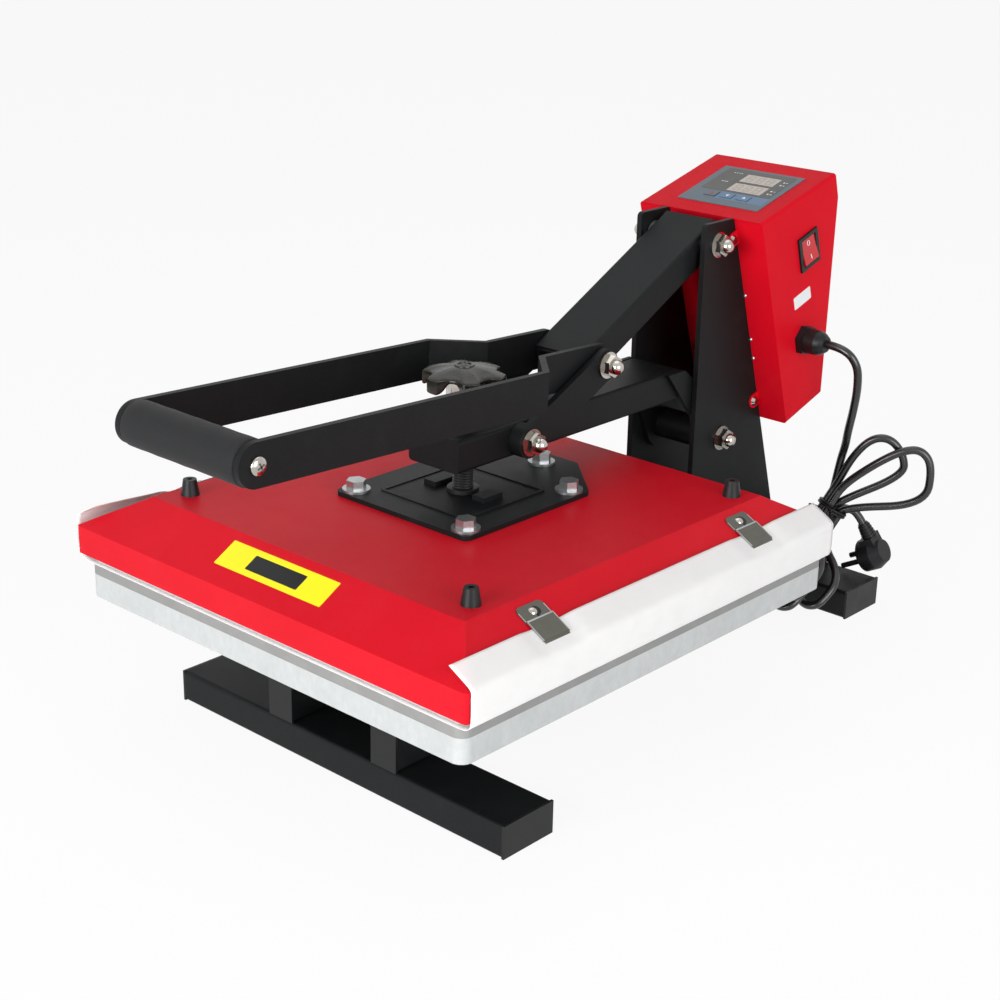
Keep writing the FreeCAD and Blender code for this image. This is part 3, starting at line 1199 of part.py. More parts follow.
def cord_tube(name, points, section_radius):
    """Straight runs and tangent arcs, each arc as large as its two runs allow."""
    radii = []
    for before, corner, after in zip(points, points[1:], points[2:]):
        run = min((corner - before).Length, (after - corner).Length)
        half_turn = (corner - before).getAngle(after - corner) / 2
        radii.append(0.45 * run / math.tan(half_turn))
    path = Part.Wire(rounded_path(points, radii))
    start = (points[1] - points[0]).normalize()
    ring = Part.Wire([Part.makeCircle(section_radius, points[0], start)])
    piece = doc.addObject("Part::Feature", name)
    piece.Shape = path.makePipeShell([ring], True, False)
    ratio = piece.Shape.Volume / (math.pi * section_radius ** 2 * path.Length)
    print(name, "length", round(path.Length, 1), "radii", [round(r, 1) for r in radii],
          "volume ratio", round(ratio, 4))
    return piece


lean = FreeCAD.Rotation(AXES["X"], size("post_lean"))
gland_mouth = lean.multVec(V(size("box_half + gland_long"), size("gland_y"), -size("gland_z")))
gland_mouth = gland_mouth + V(0, size("post_top_rear"), size("post_top"))
cord_radius = size("cord_radius")

# The hank is drawn about its tie. The strands run along the axis there.
tie_centre = V(82.5, 308.4, 89)
tie_axis = V(0.309, 0.407, 0.859).normalize()
hank_plane = V(0.866, 0.5, 0).normalize()
hank_depth = V(-0.5, 0.866, 0).normalize()
across = hank_depth.cross(tie_axis).normalize()
inward = tie_axis.cross(across)
pitch = size("strand_pitch")
row = pitch * math.sqrt(3) / 2
STRANDS = {
    "lead": (-0.5, 1), "first_out": (-1, 0), "first_back": (0, 0), "second_out": (-0.5, -1),
    "second_back": (1, 0), "tail": (0.5, 1),
}
waist_half = size("tie_wide") / 2 + 1.5


def strand_point(name, along):
    sideways, deep = STRANDS[name]
    return tie_centre + tie_axis * along + across * (sideways * pitch) + inward * (deep * row)


def biarc(start, start_way, end, end_way):
    """Two tangent arcs from one point and direction to another."""
    chord = end - start
    both = start_way + end_way
    blunt = 2 * (1 - start_way.dot(end_way))
    along = chord.dot(both)
    if blunt < 1e-9:
        reach = chord.dot(chord) / (4 * chord.dot(end_way))
    else:
        reach = (-along + math.sqrt(along ** 2 + blunt * chord.dot(chord))) / blunt
    first = start + start_way * reach
    second = end - end_way * reach
    joint = (first + second) * 0.5
    pieces = []
    for here, way, there in ((start, start_way, joint), (joint, None, end)):
        if way is None:
            way = (second - first).normalize()
        pieces.append(arc_between(here, way, there))
    return pieces


def arc_between(here, way, there):
    chord = there - here
    normal = way.cross(chord)
    if normal.Length < 1e-6 * chord.Length:
        return Part.makeLine(here, there)
    sideways = normal.cross(way).normalize()
    radius = chord.dot(chord) / (2 * chord.dot(sideways))
    centre = here + sideways * radius
    half = way.getAngle(chord)
    spin = FreeCAD.Rotation(normal, math.degrees(half))
    middle = centre + spin.multVec(here - centre)
    return Part.Arc(here, middle, there).toShape()


def loop(out_from, out_way, centre, reach_way, side_way, radius, back_to, back_way):
    """One loop of the hank: out to a half turn about the centre, and back."""
    near = centre - side_way * radius
    far = centre + side_way * radius
    turn = Part.Arc(near, centre + reach_way * radius, far).toShape()
    return (biarc(out_from, out_way, near, reach_way) + [turn]
            + biarc(far, reach_way * -1, back_to, back_way))


def up(name):
    return strand_point(name, waist_half)


def down(name):
    return strand_point(name, -waist_half)


def waist_run(name, going_up):
    ends = (down(name), up(name)) if going_up else (up(name), down(name))
    return [Part.makeLine(*ends)]


# Loops above the tie: centre along the hank's plane and up from the tie, shift towards the rear,
# radius and lean of the loop's own axis
UPPER_LOOPS = {"first": (37.8, 48.1, 0.6, 19.2, 50.6), "second": (58.7, 37.7, -7.1, 21, 32.7)}
# Loops below the tie: shift along their stack, shift to the right, radius and reach
LOWER_LOOPS = ((3, -3.4, 16.5, 6.8), (10.7, 1.1, 18.1, -3.3), (-14.1, 7.7, 17.7, -10.3))
lower_reach = V(-0.152, -0.732, -0.68).normalize()
lower_side = (V(1, 0, 0) - lower_reach * lower_reach.x).normalize()
lower_normal = lower_reach.cross(lower_side)
lower_centre = V(96.1, 244.5, 22.2)
back = tie_axis * -1


def upper_loop(name):
    along, rise, shift, radius, lean_up = UPPER_LOOPS[name]
    centre = tie_centre + hank_plane * along + V(0, 0, rise) + hank_depth * shift
    angle = math.radians(lean_up)
    reach = hank_plane * math.cos(angle) + V(0, 0, math.sin(angle))
    side = hank_plane * math.sin(angle) - V(0, 0, math.cos(angle))
    return loop(up(name + "_out"), tie_axis, centre, reach, side, radius, up(name + "_back"), back)


def lower_loop(index, start, finish):
    stack, right, radius, reach = LOWER_LOOPS[index]
    centre = lower_centre + lower_normal * stack + lower_side * right + lower_reach * reach
    return loop(down(start), back, centre, lower_reach, lower_side * -1, radius,
                down(finish), tie_axis)


lead_end = V(76.5, 314.6, 126)
lead_way = V(-0.25, 0.1, -0.963).normalize()
hank_start = lead_end + lead_way * (2 * cord_radius)
hank_edges = [Part.makeLine(lead_end, hank_start)]
hank_edges += biarc(hank_start, lead_way, up("lead"), back)
hank_edges += waist_run("lead", False)
hank_edges += lower_loop(0, "lead", "first_out")
hank_edges += waist_run("first_out", True)
hank_edges += upper_loop("first")
hank_edges += waist_run("first_back", False)
hank_edges += lower_loop(1, "first_back", "second_out")
hank_edges += waist_run("second_out", True)
hank_edges += upper_loop("second")
hank_edges += waist_run("second_back", False)
hank_edges += lower_loop(2, "second_back", "tail")
tail_start = strand_point("tail", 3.5)
hank_edges.append(Part.makeLine(down("tail"), tail_start))
hank_wire = Part.Wire(hank_edges)
hank_ring = Part.Wire([Part.makeCircle(cord_radius, lead_end, lead_way)])
hank = doc.addObject("Part::Feature", "cord_hank")
hank.Shape = hank_wire.makePipeShell([hank_ring], True, False)
node(hank, "cord_hank")


def least_gap(edges, radius, step):
    """Least clear gap between stretches of one tube that are not neighbours along it."""
    spots = []
    for edge in edges:
        spots += edge.discretize(Distance=step)[:-1] if edge.Length > step else [edge.valueAt(
            edge.FirstParameter)]
    skip = int(4.5 * radius / step)
    best = 1e9
    for i, here in enumerate(spots):
        for there in spots[i + skip:]:
            best = min(best, (here - there).Length)
    return best - 2 * radius


print("hank length", round(hank_wire.Length, 1), "volume ratio",
      round(hank.Shape.Volume / (math.pi * cord_radius ** 2 * hank_wire.Length), 4),
      "least gap", round(least_gap(hank_edges, cord_radius, 2.0), 2),
      "smallest radius", round(min(edge.Curve.Radius for edge in hank_edges
                                   if edge.Curve.TypeId == "Part::GeomCircle"), 1))

LEAD_POINTS = [(111.5, 279.5, 232), (112, 283.5, 211), (105, 290, 188), (94, 301, 166),
               (85, 310, 148)]
lead_points = [gland_mouth, gland_mouth + V(15, 0, 0)]
lead_points += [V(*point) for point in LEAD_POINTS] + [lead_end]
lead_points[-2] = lead_end - lead_way * 23
node(cord_tube("mains_lead", lead_points, cord_radius), "mains_lead")

# The tail folds over beside the tie and runs straight into the plug.
plug_way = V(0.44, 0.26, -0.86).normalize()
fold_turn = tie_axis.getAngle(plug_way)
fold_side = tie_axis.cross(plug_way).cross(tie_axis).normalize()
fold_radius = size("tail_fold")
fold_centre = tail_start + fold_side * fold_radius


def on_fold(turn):
    return (fold_centre + tie_axis * (fold_radius * math.sin(turn))
            - fold_side * (fold_radius * math.cos(turn)))


fold_end = on_fold(fold_turn)
plug_entry = fold_end + plug_way * size("tail_run")
tail_edges = [Part.Arc(tail_start, on_fold(fold_turn / 2), fold_end).toShape(),
              Part.makeLine(fold_end, plug_entry)]
tail_wire = Part.Wire(tail_edges)
tail = doc.addObject("Part::Feature", "cord_tail")
tail.Shape = tail_wire.makePipeShell(
    [Part.Wire([Part.makeCircle(cord_radius, tail_start, tie_axis)])], True, False)
node(tail, "cord_tail")
print("cord_tail length", round(tail_wire.Length, 1), "radius", fold_radius, "plug at",
      [round(c, 1) for c in plug_entry])

tie_middle = tie_centre
tie_start = tie_middle - tie_axis * (size("tie_wide") / 2)
tie_inner = pitch + cord_radius + 0.2
tie_ring = Part.makeCylinder(tie_inner + size("tie_thick"), size("tie_wide"), tie_start, tie_axis)
tie_ring = tie_ring.cut(Part.makeCylinder(tie_inner, size("tie_wide") + 2,
                                          tie_start - tie_axis, tie_axis))
tie = doc.addObject("Part::Feature", "cord_tie")
tie.Shape = tie_ring
node(tie, "cord_tie")


# Plug: drawn with its cord axis along X and its pins along -Z, then turned to where it lies

plug_parts = [Part.makeCylinder(14.5, 12, V(30, 0, -14), AXES["Z"])]
back_shell = Part.makeCone(14.5, 10, 9, V(30, 0, -2), AXES["Z"])
neck = Part.makeBox(20, 17, 13, V(13, -8.5, -8))
plug_parts += [back_shell, neck, Part.makeCone(4.6, 6.5, 16, V(0, 0, 0), AXES["X"])]
for rib in range(5):
    x = 2 + rib * 2.8
    plug_parts.append(Part.makeCylinder(5.6 + 0.35 * rib, 1.4, V(x, 0, 0), AXES["X"]))
for side in (-1, 1):
    plug_parts.append(Part.makeCylinder(2.4, 20, V(30, side * 9.5, -33), AXES["Z"]))
plug_shape = plug_parts[0].fuse(plug_parts[1:]).removeSplitter()
pin_way = V(-0.968, -0.149, -0.201)
pin_way = (pin_way - plug_way * pin_way.dot(plug_way)).normalize()
plug_side = (pin_way * -1).cross(plug_way)
turn = FreeCAD.Rotation(plug_way, plug_side, pin_way * -1, "ZXY")
plug = doc.addObject("Part::Feature", "mains_plug")
plug.Shape = plug_shape
plug.Placement = FreeCAD.Placement(plug_entry, turn)
node(plug, "mains_plug")


# Check every object, then write one file for each node

doc.recompute()
failed = [item.Label for item in doc.Objects
          if any(word in item.State for word in ("Invalid", "Error"))]
if failed:
    raise RuntimeError("objects that failed: " + ", ".join(failed))
for piece in nodes:
    if piece.Shape.isNull() or not piece.Shape.isValid() or piece.Shape.Volume <= 0:
        raise RuntimeError("shape is null or not valid: " + piece.Label)

os.makedirs("parts", exist_ok=True)
for piece in nodes:
    piece.Shape.exportStep(f"parts/{piece.Label}.step")
print(len(nodes), "nodes written")
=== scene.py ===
import math

import bmesh
import bpy
from mathutils import Matrix, Vector


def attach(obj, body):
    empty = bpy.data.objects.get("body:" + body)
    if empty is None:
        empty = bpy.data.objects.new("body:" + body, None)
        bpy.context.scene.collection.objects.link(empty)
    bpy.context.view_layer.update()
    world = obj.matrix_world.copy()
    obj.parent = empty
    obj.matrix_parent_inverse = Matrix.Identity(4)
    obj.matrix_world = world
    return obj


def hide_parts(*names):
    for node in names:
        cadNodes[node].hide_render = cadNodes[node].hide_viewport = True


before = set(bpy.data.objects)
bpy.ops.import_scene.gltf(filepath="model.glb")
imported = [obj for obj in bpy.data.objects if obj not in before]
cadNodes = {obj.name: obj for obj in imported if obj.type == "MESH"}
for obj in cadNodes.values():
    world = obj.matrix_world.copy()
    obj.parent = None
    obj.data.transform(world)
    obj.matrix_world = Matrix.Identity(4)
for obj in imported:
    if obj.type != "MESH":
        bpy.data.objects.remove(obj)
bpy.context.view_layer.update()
mm = 0.001
bpy.context.scene.view_settings.view_transform = "Standard"
print("frame loaded:", len(cadNodes), "nodes")


def point(x, y, z):
    return Vector((x * mm, y * mm, z * mm))


# makes an object of a mesh, curve, camera or lamp, in view
def newObject(name, data):
    made = bpy.data.objects.new(name, data)
    bpy.context.scene.collection.objects.link(made)
    return made


# turns a finished shape into a mesh
def meshOf(name, shape):
    mesh = bpy.data.meshes.new(name)
    shape.to_mesh(mesh)
    shape.free()
    return mesh


# camera

cameraSpot = {"place": (873.69, -1002.43, 653.6), "turn": 42.04, "tilt": -20.55, "roll": 1.15,
              "lens": 66.17, "sensor": 36, "sight": 20}


def addCamera():
    turn, tilt, roll = (math.radians(cameraSpot[k]) for k in ("turn", "tilt", "roll"))
    forward = Vector((-math.sin(turn) * math.cos(tilt), math.cos(turn) * math.cos(tilt),
                      math.sin(tilt)))
    right = Vector((math.cos(turn), math.sin(turn), 0))
    up = right.cross(forward)
    across = right * math.cos(roll) + up * math.sin(roll)
    upwards = up * math.cos(roll) - right * math.sin(roll)
    camera = newObject("camera", bpy.data.cameras.new("camera"))
    camera.data.lens = cameraSpot["lens"]
    camera.data.sensor_width = cameraSpot["sensor"]
    camera.data.clip_end = cameraSpot["sight"]
    axes = Matrix((across, upwards, -forward)).transposed().to_4x4()
    camera.matrix_world = Matrix.Translation(point(*cameraSpot["place"])) @ axes
    bpy.context.scene.camera = camera


addCamera()


# node helpers

# links a socket to another one, or gives it a plain value
def feed(tree, socket, value):
    if hasattr(value, "is_linked"):
        tree.links.new(value, socket)
    else:
        socket.default_value = value


def combine(tree, first, second, how="MULTIPLY"):
    made = tree.nodes.new("ShaderNodeMath")
    made.operation = how
    feed(tree, made.inputs[0], first)
    feed(tree, made.inputs[1], second)
    return made.outputs[0]


def mixColour(tree, factor, first, second, how="MIX"):
    mix = tree.nodes.new("ShaderNodeMix")
    mix.data_type = "RGBA"
    mix.blend_type = how
    for place, value in ((0, factor), (6, first), (7, second)):
        feed(tree, mix.inputs[place], value)
    return mix.outputs[2]


def mixShader(tree, factor, first, second, out):
    mix = tree.nodes.new("ShaderNodeMixShader")
    for socket, value in zip(mix.inputs, (factor, first.outputs[0], second.outputs[0])):
        feed(tree, socket, value)
    tree.links.new(mix.outputs[0], out.inputs[0])


def noise(tree, vector, scale, detail=3.0, rough=0.6):
    made = tree.nodes.new("ShaderNodeTexNoise")
    for label, value in (("Vector", vector), ("Scale", scale), ("Detail", detail),
                         ("Roughness", rough)):
        feed(tree, made.inputs[label], value)
    return made.outputs["Fac"]


# nought below low, one above high
def ramp(tree, value, low, high):
    made = tree.nodes.new("ShaderNodeMapRange")
    for label, given in (("Value", value), ("From Min", low), ("From Max", high)):
        feed(tree, made.inputs[label], given)
    return made.outputs["Result"]


# studio

# world light, paper floor, and lamps with their name, place, aim, size and watts
studio = {"world": 0.32, "floorColour": (0.92, 0.92, 0.92, 1), "floorLift": 0.91,
          "floorSize": 9, "floorZ": -0.0002,
          "lamps": [("frontLamp", (120, -2150, 600), (0, 0, 150), 1.2, 42),
                    ("sideLamp", (2000, -550, 700), (0, 0, 200), 1.2, 26),
                    ("topLamp", (-300, 300, 2100), (0, 0, 100), 1.6, 7)]}


# one where the camera looks, straight, by reflection or through glass
def seenRays(tree):
    rays = tree.nodes.new("ShaderNodeLightPath").outputs
    total = combine(tree, rays["Is Camera Ray"], rays["Is Glossy Ray"], "MAXIMUM")
    return combine(tree, total, rays["Is Transmission Ray"], "MAXIMUM")


def clearedTree(owner):
    owner.use_nodes = True
    owner.node_tree.nodes.clear()
    return owner.node_tree


def addStudio():
    bpy.context.scene.world = bpy.data.worlds.new("studioWorld")
    tree = clearedTree(bpy.context.scene.world)
    skies = []
    for strength in (studio["world"], 1):
        sky = tree.nodes.new("ShaderNodeBackground")
        sky.inputs["Color"].default_value = (1, 1, 1, 1)
        sky.inputs["Strength"].default_value = strength
        skies.append(sky)
    mixShader(tree, seenRays(tree), *skies, tree.nodes.new("ShaderNodeOutputWorld"))

    flat = bmesh.new()
    bmesh.ops.create_grid(flat, x_segments=1, y_segments=1, size=studio["floorSize"])
    floor = newObject("floor", meshOf("floor", flat))
    floor.location.z = studio["floorZ"]
    paper = bpy.data.materials.new("floorPaper")
    tree = clearedTree(paper)
    matt = tree.nodes.new("ShaderNodeBsdfDiffuse")
    matt.inputs["Color"].default_value = studio["floorColour"]
    mixShader(tree, combine(tree, seenRays(tree), studio["floorLift"]), matt,
              tree.nodes.new("ShaderNodeEmission"), tree.nodes.new("ShaderNodeOutputMaterial"))
    floor.data.materials.append(paper)

    for name, place, aim, size, power in studio["lamps"]:
        lamp = bpy.data.lights.new(name, "AREA")
        lamp.size = size
        lamp.energy = power
        holder = newObject(name, lamp)
        holder.location = point(*place)
        holder.rotation_euler = (point(*aim) - point(*place)).to_track_quat("-Z", "Y").to_euler()


addStudio()
print("camera and studio set")


# finishes

# linear colour from a paint chip's hex code
def tint(code):
    parts = [int(code[i:i + 2], 16) / 255 for i in (1, 3, 5)]
    return tuple(c / 12.92 if c <= 0.04045 else ((c + 0.055) / 1.055) ** 2.4 for c in parts) + (1,)


# an empty look: each input's kind follows from its value, and every look has the same outputs
def newLook(name, inputs):
    group = bpy.data.node_groups.new(name, "ShaderNodeTree")
    for label, value in inputs.items():
        kind = "Float" if isinstance(value, float) else {3: "Vector", 4: "Color"}[len(value)]
        socket = group.interface.new_socket(label, in_out="INPUT", socket_type="NodeSocket" + kind)
        socket.default_value = value
    for label, kind in (("Color", "Color"), ("Roughness", "Float"), ("Height", "Float")):
        group.interface.new_socket(label, in_out="OUTPUT", socket_type="NodeSocket" + kind)
    given = group.nodes.new("NodeGroupInput").outputs
    out = group.nodes.new("NodeGroupOutput").inputs
    where = group.nodes.new("ShaderNodeTexCoord").outputs["Object"]
    return group, given, out, where


# sends a look its colour, its height, and its roughness with two worn shares added
def fillLook(group, given, out, colour, height, worn):
    rough = given["Roughness"]
    for value, share in worn:
        rough = combine(group, rough, combine(group, value, share), "ADD")
    for label, value in (("Color", colour), ("Roughness", rough), ("Height", height)):
        group.links.new(value, out[label])
    return group


# baked powder paint: fine orange peel, pale specks and a trace of handling dust
def powderCoat():
    group, given, out, where = newLook("powderCoat", {
        "Color": (0.5, 0.5, 0.5, 1), "Fleck": (0.6, 0.6, 0.6, 1), "Fleck Amount": 0.2,
        "Grain Scale": 900.0, "Roughness": 0.5, "Dust": 0.1})
    grain = noise(group, where, given["Grain Scale"], 2)
    specks = ramp(group, noise(group, where, 2600, 1), 0.6, 0.75)
    cloud = noise(group, where, 9, 4)
    smears = ramp(group, noise(group, where, 34, 5, 0.7), 0.52, 0.8)
    colour = mixColour(group, combine(group, specks, given["Fleck Amount"]), given["Color"],
                       given["Fleck"])
    shade = mixColour(group, combine(group, cloud, 0.22), colour, (0.02, 0.02, 0.02, 1), "MULTIPLY")
    dusty = mixColour(group, combine(group, smears, given["Dust"]), shade, (0.5, 0.49, 0.47, 1))
    return fillLook(group, given, out, dusty, combine(group, grain, specks, "ADD"),
                    ((cloud, 0.16), (smears, 0.1)))


# machined or rolled metal: stretched hairlines, stains and dull patches; on chrome the dark stain
# blots are painted reflection
def brushedMetal():
    group, given, out, where = newLook("brushedMetal", {
        "Color": (0.6, 0.6, 0.6, 1), "Stain And Painted Reflection": (0.3, 0.28, 0.26, 1), "Stain And Painted Reflection Amount": 0.2,
        "Line Scale": 300.0, "Stretch": (1, 1, 0.05), "Roughness": 0.3})
    stretched = group.nodes.new("ShaderNodeVectorMath")
    stretched.operation = "MULTIPLY"
    group.links.new(where, stretched.inputs[0])
    group.links.new(given["Stretch"], stretched.inputs[1])
    lines = noise(group, stretched.outputs[0], given["Line Scale"], 4, 0.75)
    stainAndReflectionBlots = ramp(group, noise(group, where, 22, 6, 0.7), 0.45, 0.75)
    lined = mixColour(group, combine(group, lines, 0.3), given["Color"], (0.12, 0.12, 0.12, 1),
                      "MULTIPLY")
    colour = mixColour(group, combine(group, stainAndReflectionBlots, given["Stain And Painted Reflection Amount"]), lined, given["Stain And Painted Reflection"])
    return fillLook(group, given, out, colour, lines, ((lines, 0.12), (stainAndReflectionBlots, 0.15)))


# moulded plastic, rubber or foam: pores, faint sink marks and rubbed patches
def mouldedSkin():
    group, given, out, where = newLook("mouldedSkin", {
        "Color": (0.1, 0.1, 0.1, 1), "Rubbed": (0.2, 0.2, 0.2, 1), "Rub Amount": 0.2,
        "Pore Scale": 900.0, "Roughness": 0.5})
    pores = group.nodes.new("ShaderNodeTexVoronoi")
    group.links.new(where, pores.inputs["Vector"])
    group.links.new(given["Pore Scale"], pores.inputs["Scale"])
    patches = ramp(group, noise(group, where, 45, 5, 0.65), 0.42, 0.72)
    colour = mixColour(group, combine(group, patches, given["Rub Amount"]), given["Color"],
                       given["Rubbed"])
    return fillLook(group, given, out, colour, pores.outputs["Distance"], ((patches, 0.14),))


looks = {"powderCoat": powderCoat(), "brushedMetal": brushedMetal(), "mouldedSkin": mouldedSkin()}


# a look feeds the shader, whose plain values are set here; the bump's reach is in metres
def finish(name, look, values, plain, bump, reach):
    material = bpy.data.materials.new(name)
    material.use_nodes = True
    tree = material.node_tree
    surface = tree.nodes["Principled BSDF"].inputs
    for label, value in plain.items():
        surface[label].default_value = value
    shared = tree.nodes.new("ShaderNodeGroup")
    shared.node_tree = looks[look]
    for socket, value in zip(shared.inputs, values):
        socket.default_value = tint(value) if isinstance(value, str) else value
    relief = tree.nodes.new("ShaderNodeBump")
    relief.inputs["Strength"].default_value = bump
    relief.inputs["Distance"].default_value = reach
    tree.links.new(shared.outputs["Color"], surface["Base Color"])
    tree.links.new(shared.outputs["Roughness"], surface["Roughness"])
    tree.links.new(shared.outputs["Height"], relief.inputs["Height"])
    tree.links.new(relief.outputs[0], surface["Normal"])
    material.diffuse_color = shared.inputs["Color"].default_value
    return material


# each look's values in the order of its inputs, the shader's own values, the bump and its reach
coats = {
    "powderCoat": {  # colour, fleck, fleck amount, grain scale, roughness, dust
        "redPaint": (("#d20a20", "#e8303f", 0.25, 1100, 0.42, 0.015),
                     {"Specular IOR Level": 0.15}, 0.3, 0.0002),
        # the box's red is the cover's red paint a little lighter, painted light to brighten the box
        "brightenedBoxRed": (("#dc0a21", "#e8303f", 0.2, 1100, 0.42, 0.01),
                   {"Specular IOR Level": 0.08}, 0.3, 0.0002),
        "blackPaint": (("#111314", "#34373a", 0.4, 1400, 0.42, 0.01),
                       {"Specular IOR Level": 0.15}, 0.3, 0.0002),
        "glassWool": (("#cdbb86", "#e9ddb4", 0.7, 350, 0.8, 0.1), {"Sheen Weight": 0.3}, 0.8, 0.001),
    },
    "brushedMetal": {  # colour, stain (painted reflection on chrome), stain amount, line scale, stretch, roughness
        # chrome's dark stain blots stand for dark surroundings mirrored in the plating: painted
        # reflection
        "chrome": (("#c9c4bd", "#544b43", 0.6, 260, (1, 1, 1), 0.08), {"Metallic": 1}, 0.05, 0.0002),
        "zinc": (("#b9bcbd", "#7c7a72", 0.4, 420, (1, 1, 0.3), 0.26),
                 {"Metallic": 0.95}, 0.05, 0.0001),
        "clipSteel": (("#686860", "#46453e", 0.4, 700, (1, 0.04, 1), 0.3),
                      {"Metallic": 0.8}, 0.06, 0.0001),
        "castAluminium": (("#c5c8c8", "#a7aaaa", 0.5, 160, (1, 1, 0.6), 0.5),
                          {"Metallic": 0.1, "Specular IOR Level": 0.4}, 0.3, 0.0004),
        "darkSteel": (("#1b1c1e", "#34322f", 0.4, 300, (1, 1, 0.2), 0.35),
                      {"Metallic": 0.3, "Specular IOR Level": 0.4}, 0.08, 0.0001),
        "elementSteel": (("#6f6a62", "#3c3530", 0.6, 200, (1, 0.2, 1), 0.45),
                         {"Metallic": 0.9}, 0.1, 0.0002),
    },
    "mouldedSkin": {  # colour, rubbed, rub amount, pore scale, roughness
        "siliconePad": (("#848483", "#929290", 0.6, 1800, 0.55),
                        {"Specular IOR Level": 0.3}, 0.1, 0.0001),
        "blackFoam": (("#151617", "#252628", 0.5, 1500, 0.68),
                      {"Specular IOR Level": 0.25, "Sheen Weight": 0.04, "Sheen Roughness": 0.5},
                      0.5, 0.0003),
        "blackRubber": (("#101113", "#232427", 0.4, 1100, 0.42),
                        {"Specular IOR Level": 0.3}, 0.12, 0.0002),
        "blackPlastic": (("#0f1011", "#1d1f20", 0.3, 1300, 0.38),
                         {"Specular IOR Level": 0.3}, 0.12, 0.0001),
        "knobPlastic": (("#15140f", "#3a372f", 0.5, 420, 0.24),
                        {"Specular IOR Level": 0.4}, 0.35, 0.0003),
        "cordSheath": (("#0c0d0f", "#1a1b1e", 0.4, 900, 0.24),
                       {"Specular IOR Level": 0.7}, 0.06, 0.0001),
        "redSwitch": (("#c0101b", "#d0222b", 0.3, 500, 0.14),
                      {"Specular IOR Level": 0.35, "Coat Weight": 0.3, "Coat Roughness": 0.06},
                      0.02, 0.0001),
        "ptfeCloth": (("#f6f5f4", "#efeeed", 0.5, 1400, 0.42),
                      {"Specular IOR Level": 0.45, "Subsurface Weight": 0.5,
                       "Subsurface Radius": (1, 1, 1), "Subsurface Scale": 0.0015}, 0.05, 0.0001),
        "panelFilm": (("#4a5a66", "#566672", 0.4, 1600, 0.34),
                      {"Specular IOR Level": 0.5}, 0.06, 0.0001),
        "panelDark": (("#3a3a38", "#454542", 0.4, 1600, 0.3),
                      {"Specular IOR Level": 0.5}, 0.04, 0.0001),
        "keyBlue": (("#4d6d8d", "#587a99", 0.4, 1200, 0.32),
                    {"Specular IOR Level": 0.5}, 0.05, 0.0001),
        "displayPale": (("#b3a79d", "#c0b5ab", 0.4, 1500, 0.2),
                        {"Coat Weight": 0.5, "Coat Roughness": 0.08}, 0.02, 0.0001),
        "segmentGrey": (("#a29990", "#a89f96", 0.3, 1500, 0.3), {"Coat Weight": 0.3}, 0.02, 0.0001),
        "printWhite": (("#e8eaec", "#d8dadd", 0.3, 1500, 0.4),
                       {"Specular IOR Level": 0.4}, 0.03, 0.0001),
        "printRed": (("#7b4b45", "#70433e", 0.3, 1500, 0.4),
                     {"Specular IOR Level": 0.4}, 0.03, 0.0001),
        "stickerYellow": (("#f4e513", "#e6d60f", 0.4, 1400, 0.35),
                          {"Specular IOR Level": 0.45}, 0.03, 0.0001),
        "boardGreen": (("#1f5a36", "#2d7047", 0.5, 600, 0.35),
                       {"Specular IOR Level": 0.5}, 0.05, 0.0001),
    },
}
finishes = {name: finish(name, look, *facts)
            for look, rows in coats.items() for name, facts in rows.items()}

# the solids that stay in view; the others are replaced by pieces made below
nodeFinishes = {
    "blackPaint": "front_foot rear_foot left_rail right_rail platen_bearers post_base_plate "
                  "left_post_plate right_post_plate arm_tube arm_hinge_plates lever_tube "
                  "left_handle_bar right_handle_bar left_link right_link mounting_plate screw_nut "
                  "arm_bush",
    "redPaint": "upper_cover",
    "brightenedBoxRed": "control_box_shell control_box_front",
    "chrome": "lever_pivot_bolt arm_pivot_bolt upper_link_bolt lower_link_nuts clip_screws "
              "box_ear_screws",
    "zinc": "bearer_bolts lever_bush lower_link_pin grip_rod mount_bolts",
    "clipSteel": "sheet_clips",
    "castAluminium": "lower_platen heating_platen",
    "elementSteel": "heating_element",
    "blackRubber": "rubber_bumpers mains_plug",
    "blackPlastic": "tube_end_caps heater_relay rocker_bezel cord_gland",
    "redSwitch": "rocker",
    "panelFilm": "panel_overlay set_key",
    "keyBlue": "down_key up_key",
    "displayPale": "display_windows",
    "boardGreen": "control_board",
    "glassWool": "insulation_pad",
}
for finishName, names in nodeFinishes.items():
    for name in names.split():
        slots = cadNodes[name].data.materials
        slots.clear()
        slots.append(finishes[finishName])
print("finishes set:", len(finishes))


# building helpers

def moved(x, y, z):
    return Matrix.Translation(point(x, y, z))


def turned(angle, axis):
    return Matrix.Rotation(math.radians(angle), 4, axis)


# the posts' top rear edge, from which the control box leans back and its top falls forward
controlBox = {"edgeY": 201.1, "edgeZ": 352, "lean": 17.6, "topFall": 2.658, "wallX": 61.5}
boxEdge = moved(0, controlBox["edgeY"], controlBox["edgeZ"])
boxFrame = boxEdge @ turned(controlBox["lean"], "X")
topFrame = boxEdge @ turned(controlBox["lean"] - controlBox["topFall"], "X")


def scaled(x, y, z):
    return Matrix.Diagonal((x * mm, y * mm, z * mm, 1))


def bevelled(shape, edges, width, segments=3):
    bmesh.ops.bevel(shape, geom=edges, offset=width * mm, affect="EDGES", segments=segments,
                    profile=0.5, material=-1)


def edgeRise(edge):
    return abs(edge.verts[0].co.z - edge.verts[1].co.z)


# plate with round corners, its middle at x, y and its underside at z
def slab(x, y, z, wide, long, thick, corner=0, edge=0, segments=4):
    shape = bmesh.new()
    bmesh.ops.create_cube(shape, size=1,
                          matrix=moved(x, y, z + thick / 2) @ scaled(wide, long, thick))
    if corner:
        upright = [e for e in shape.edges if edgeRise(e) > thick * mm * 0.5]
        bevelled(shape, upright, corner, segments)
    if edge:
        top = max(v.co.z for v in shape.verts)
        rim = [e for e in shape.edges if all(abs(v.co.z - top) < 1e-7 for v in e.verts)]
        bevelled(shape, rim, edge, 2)
    return shape


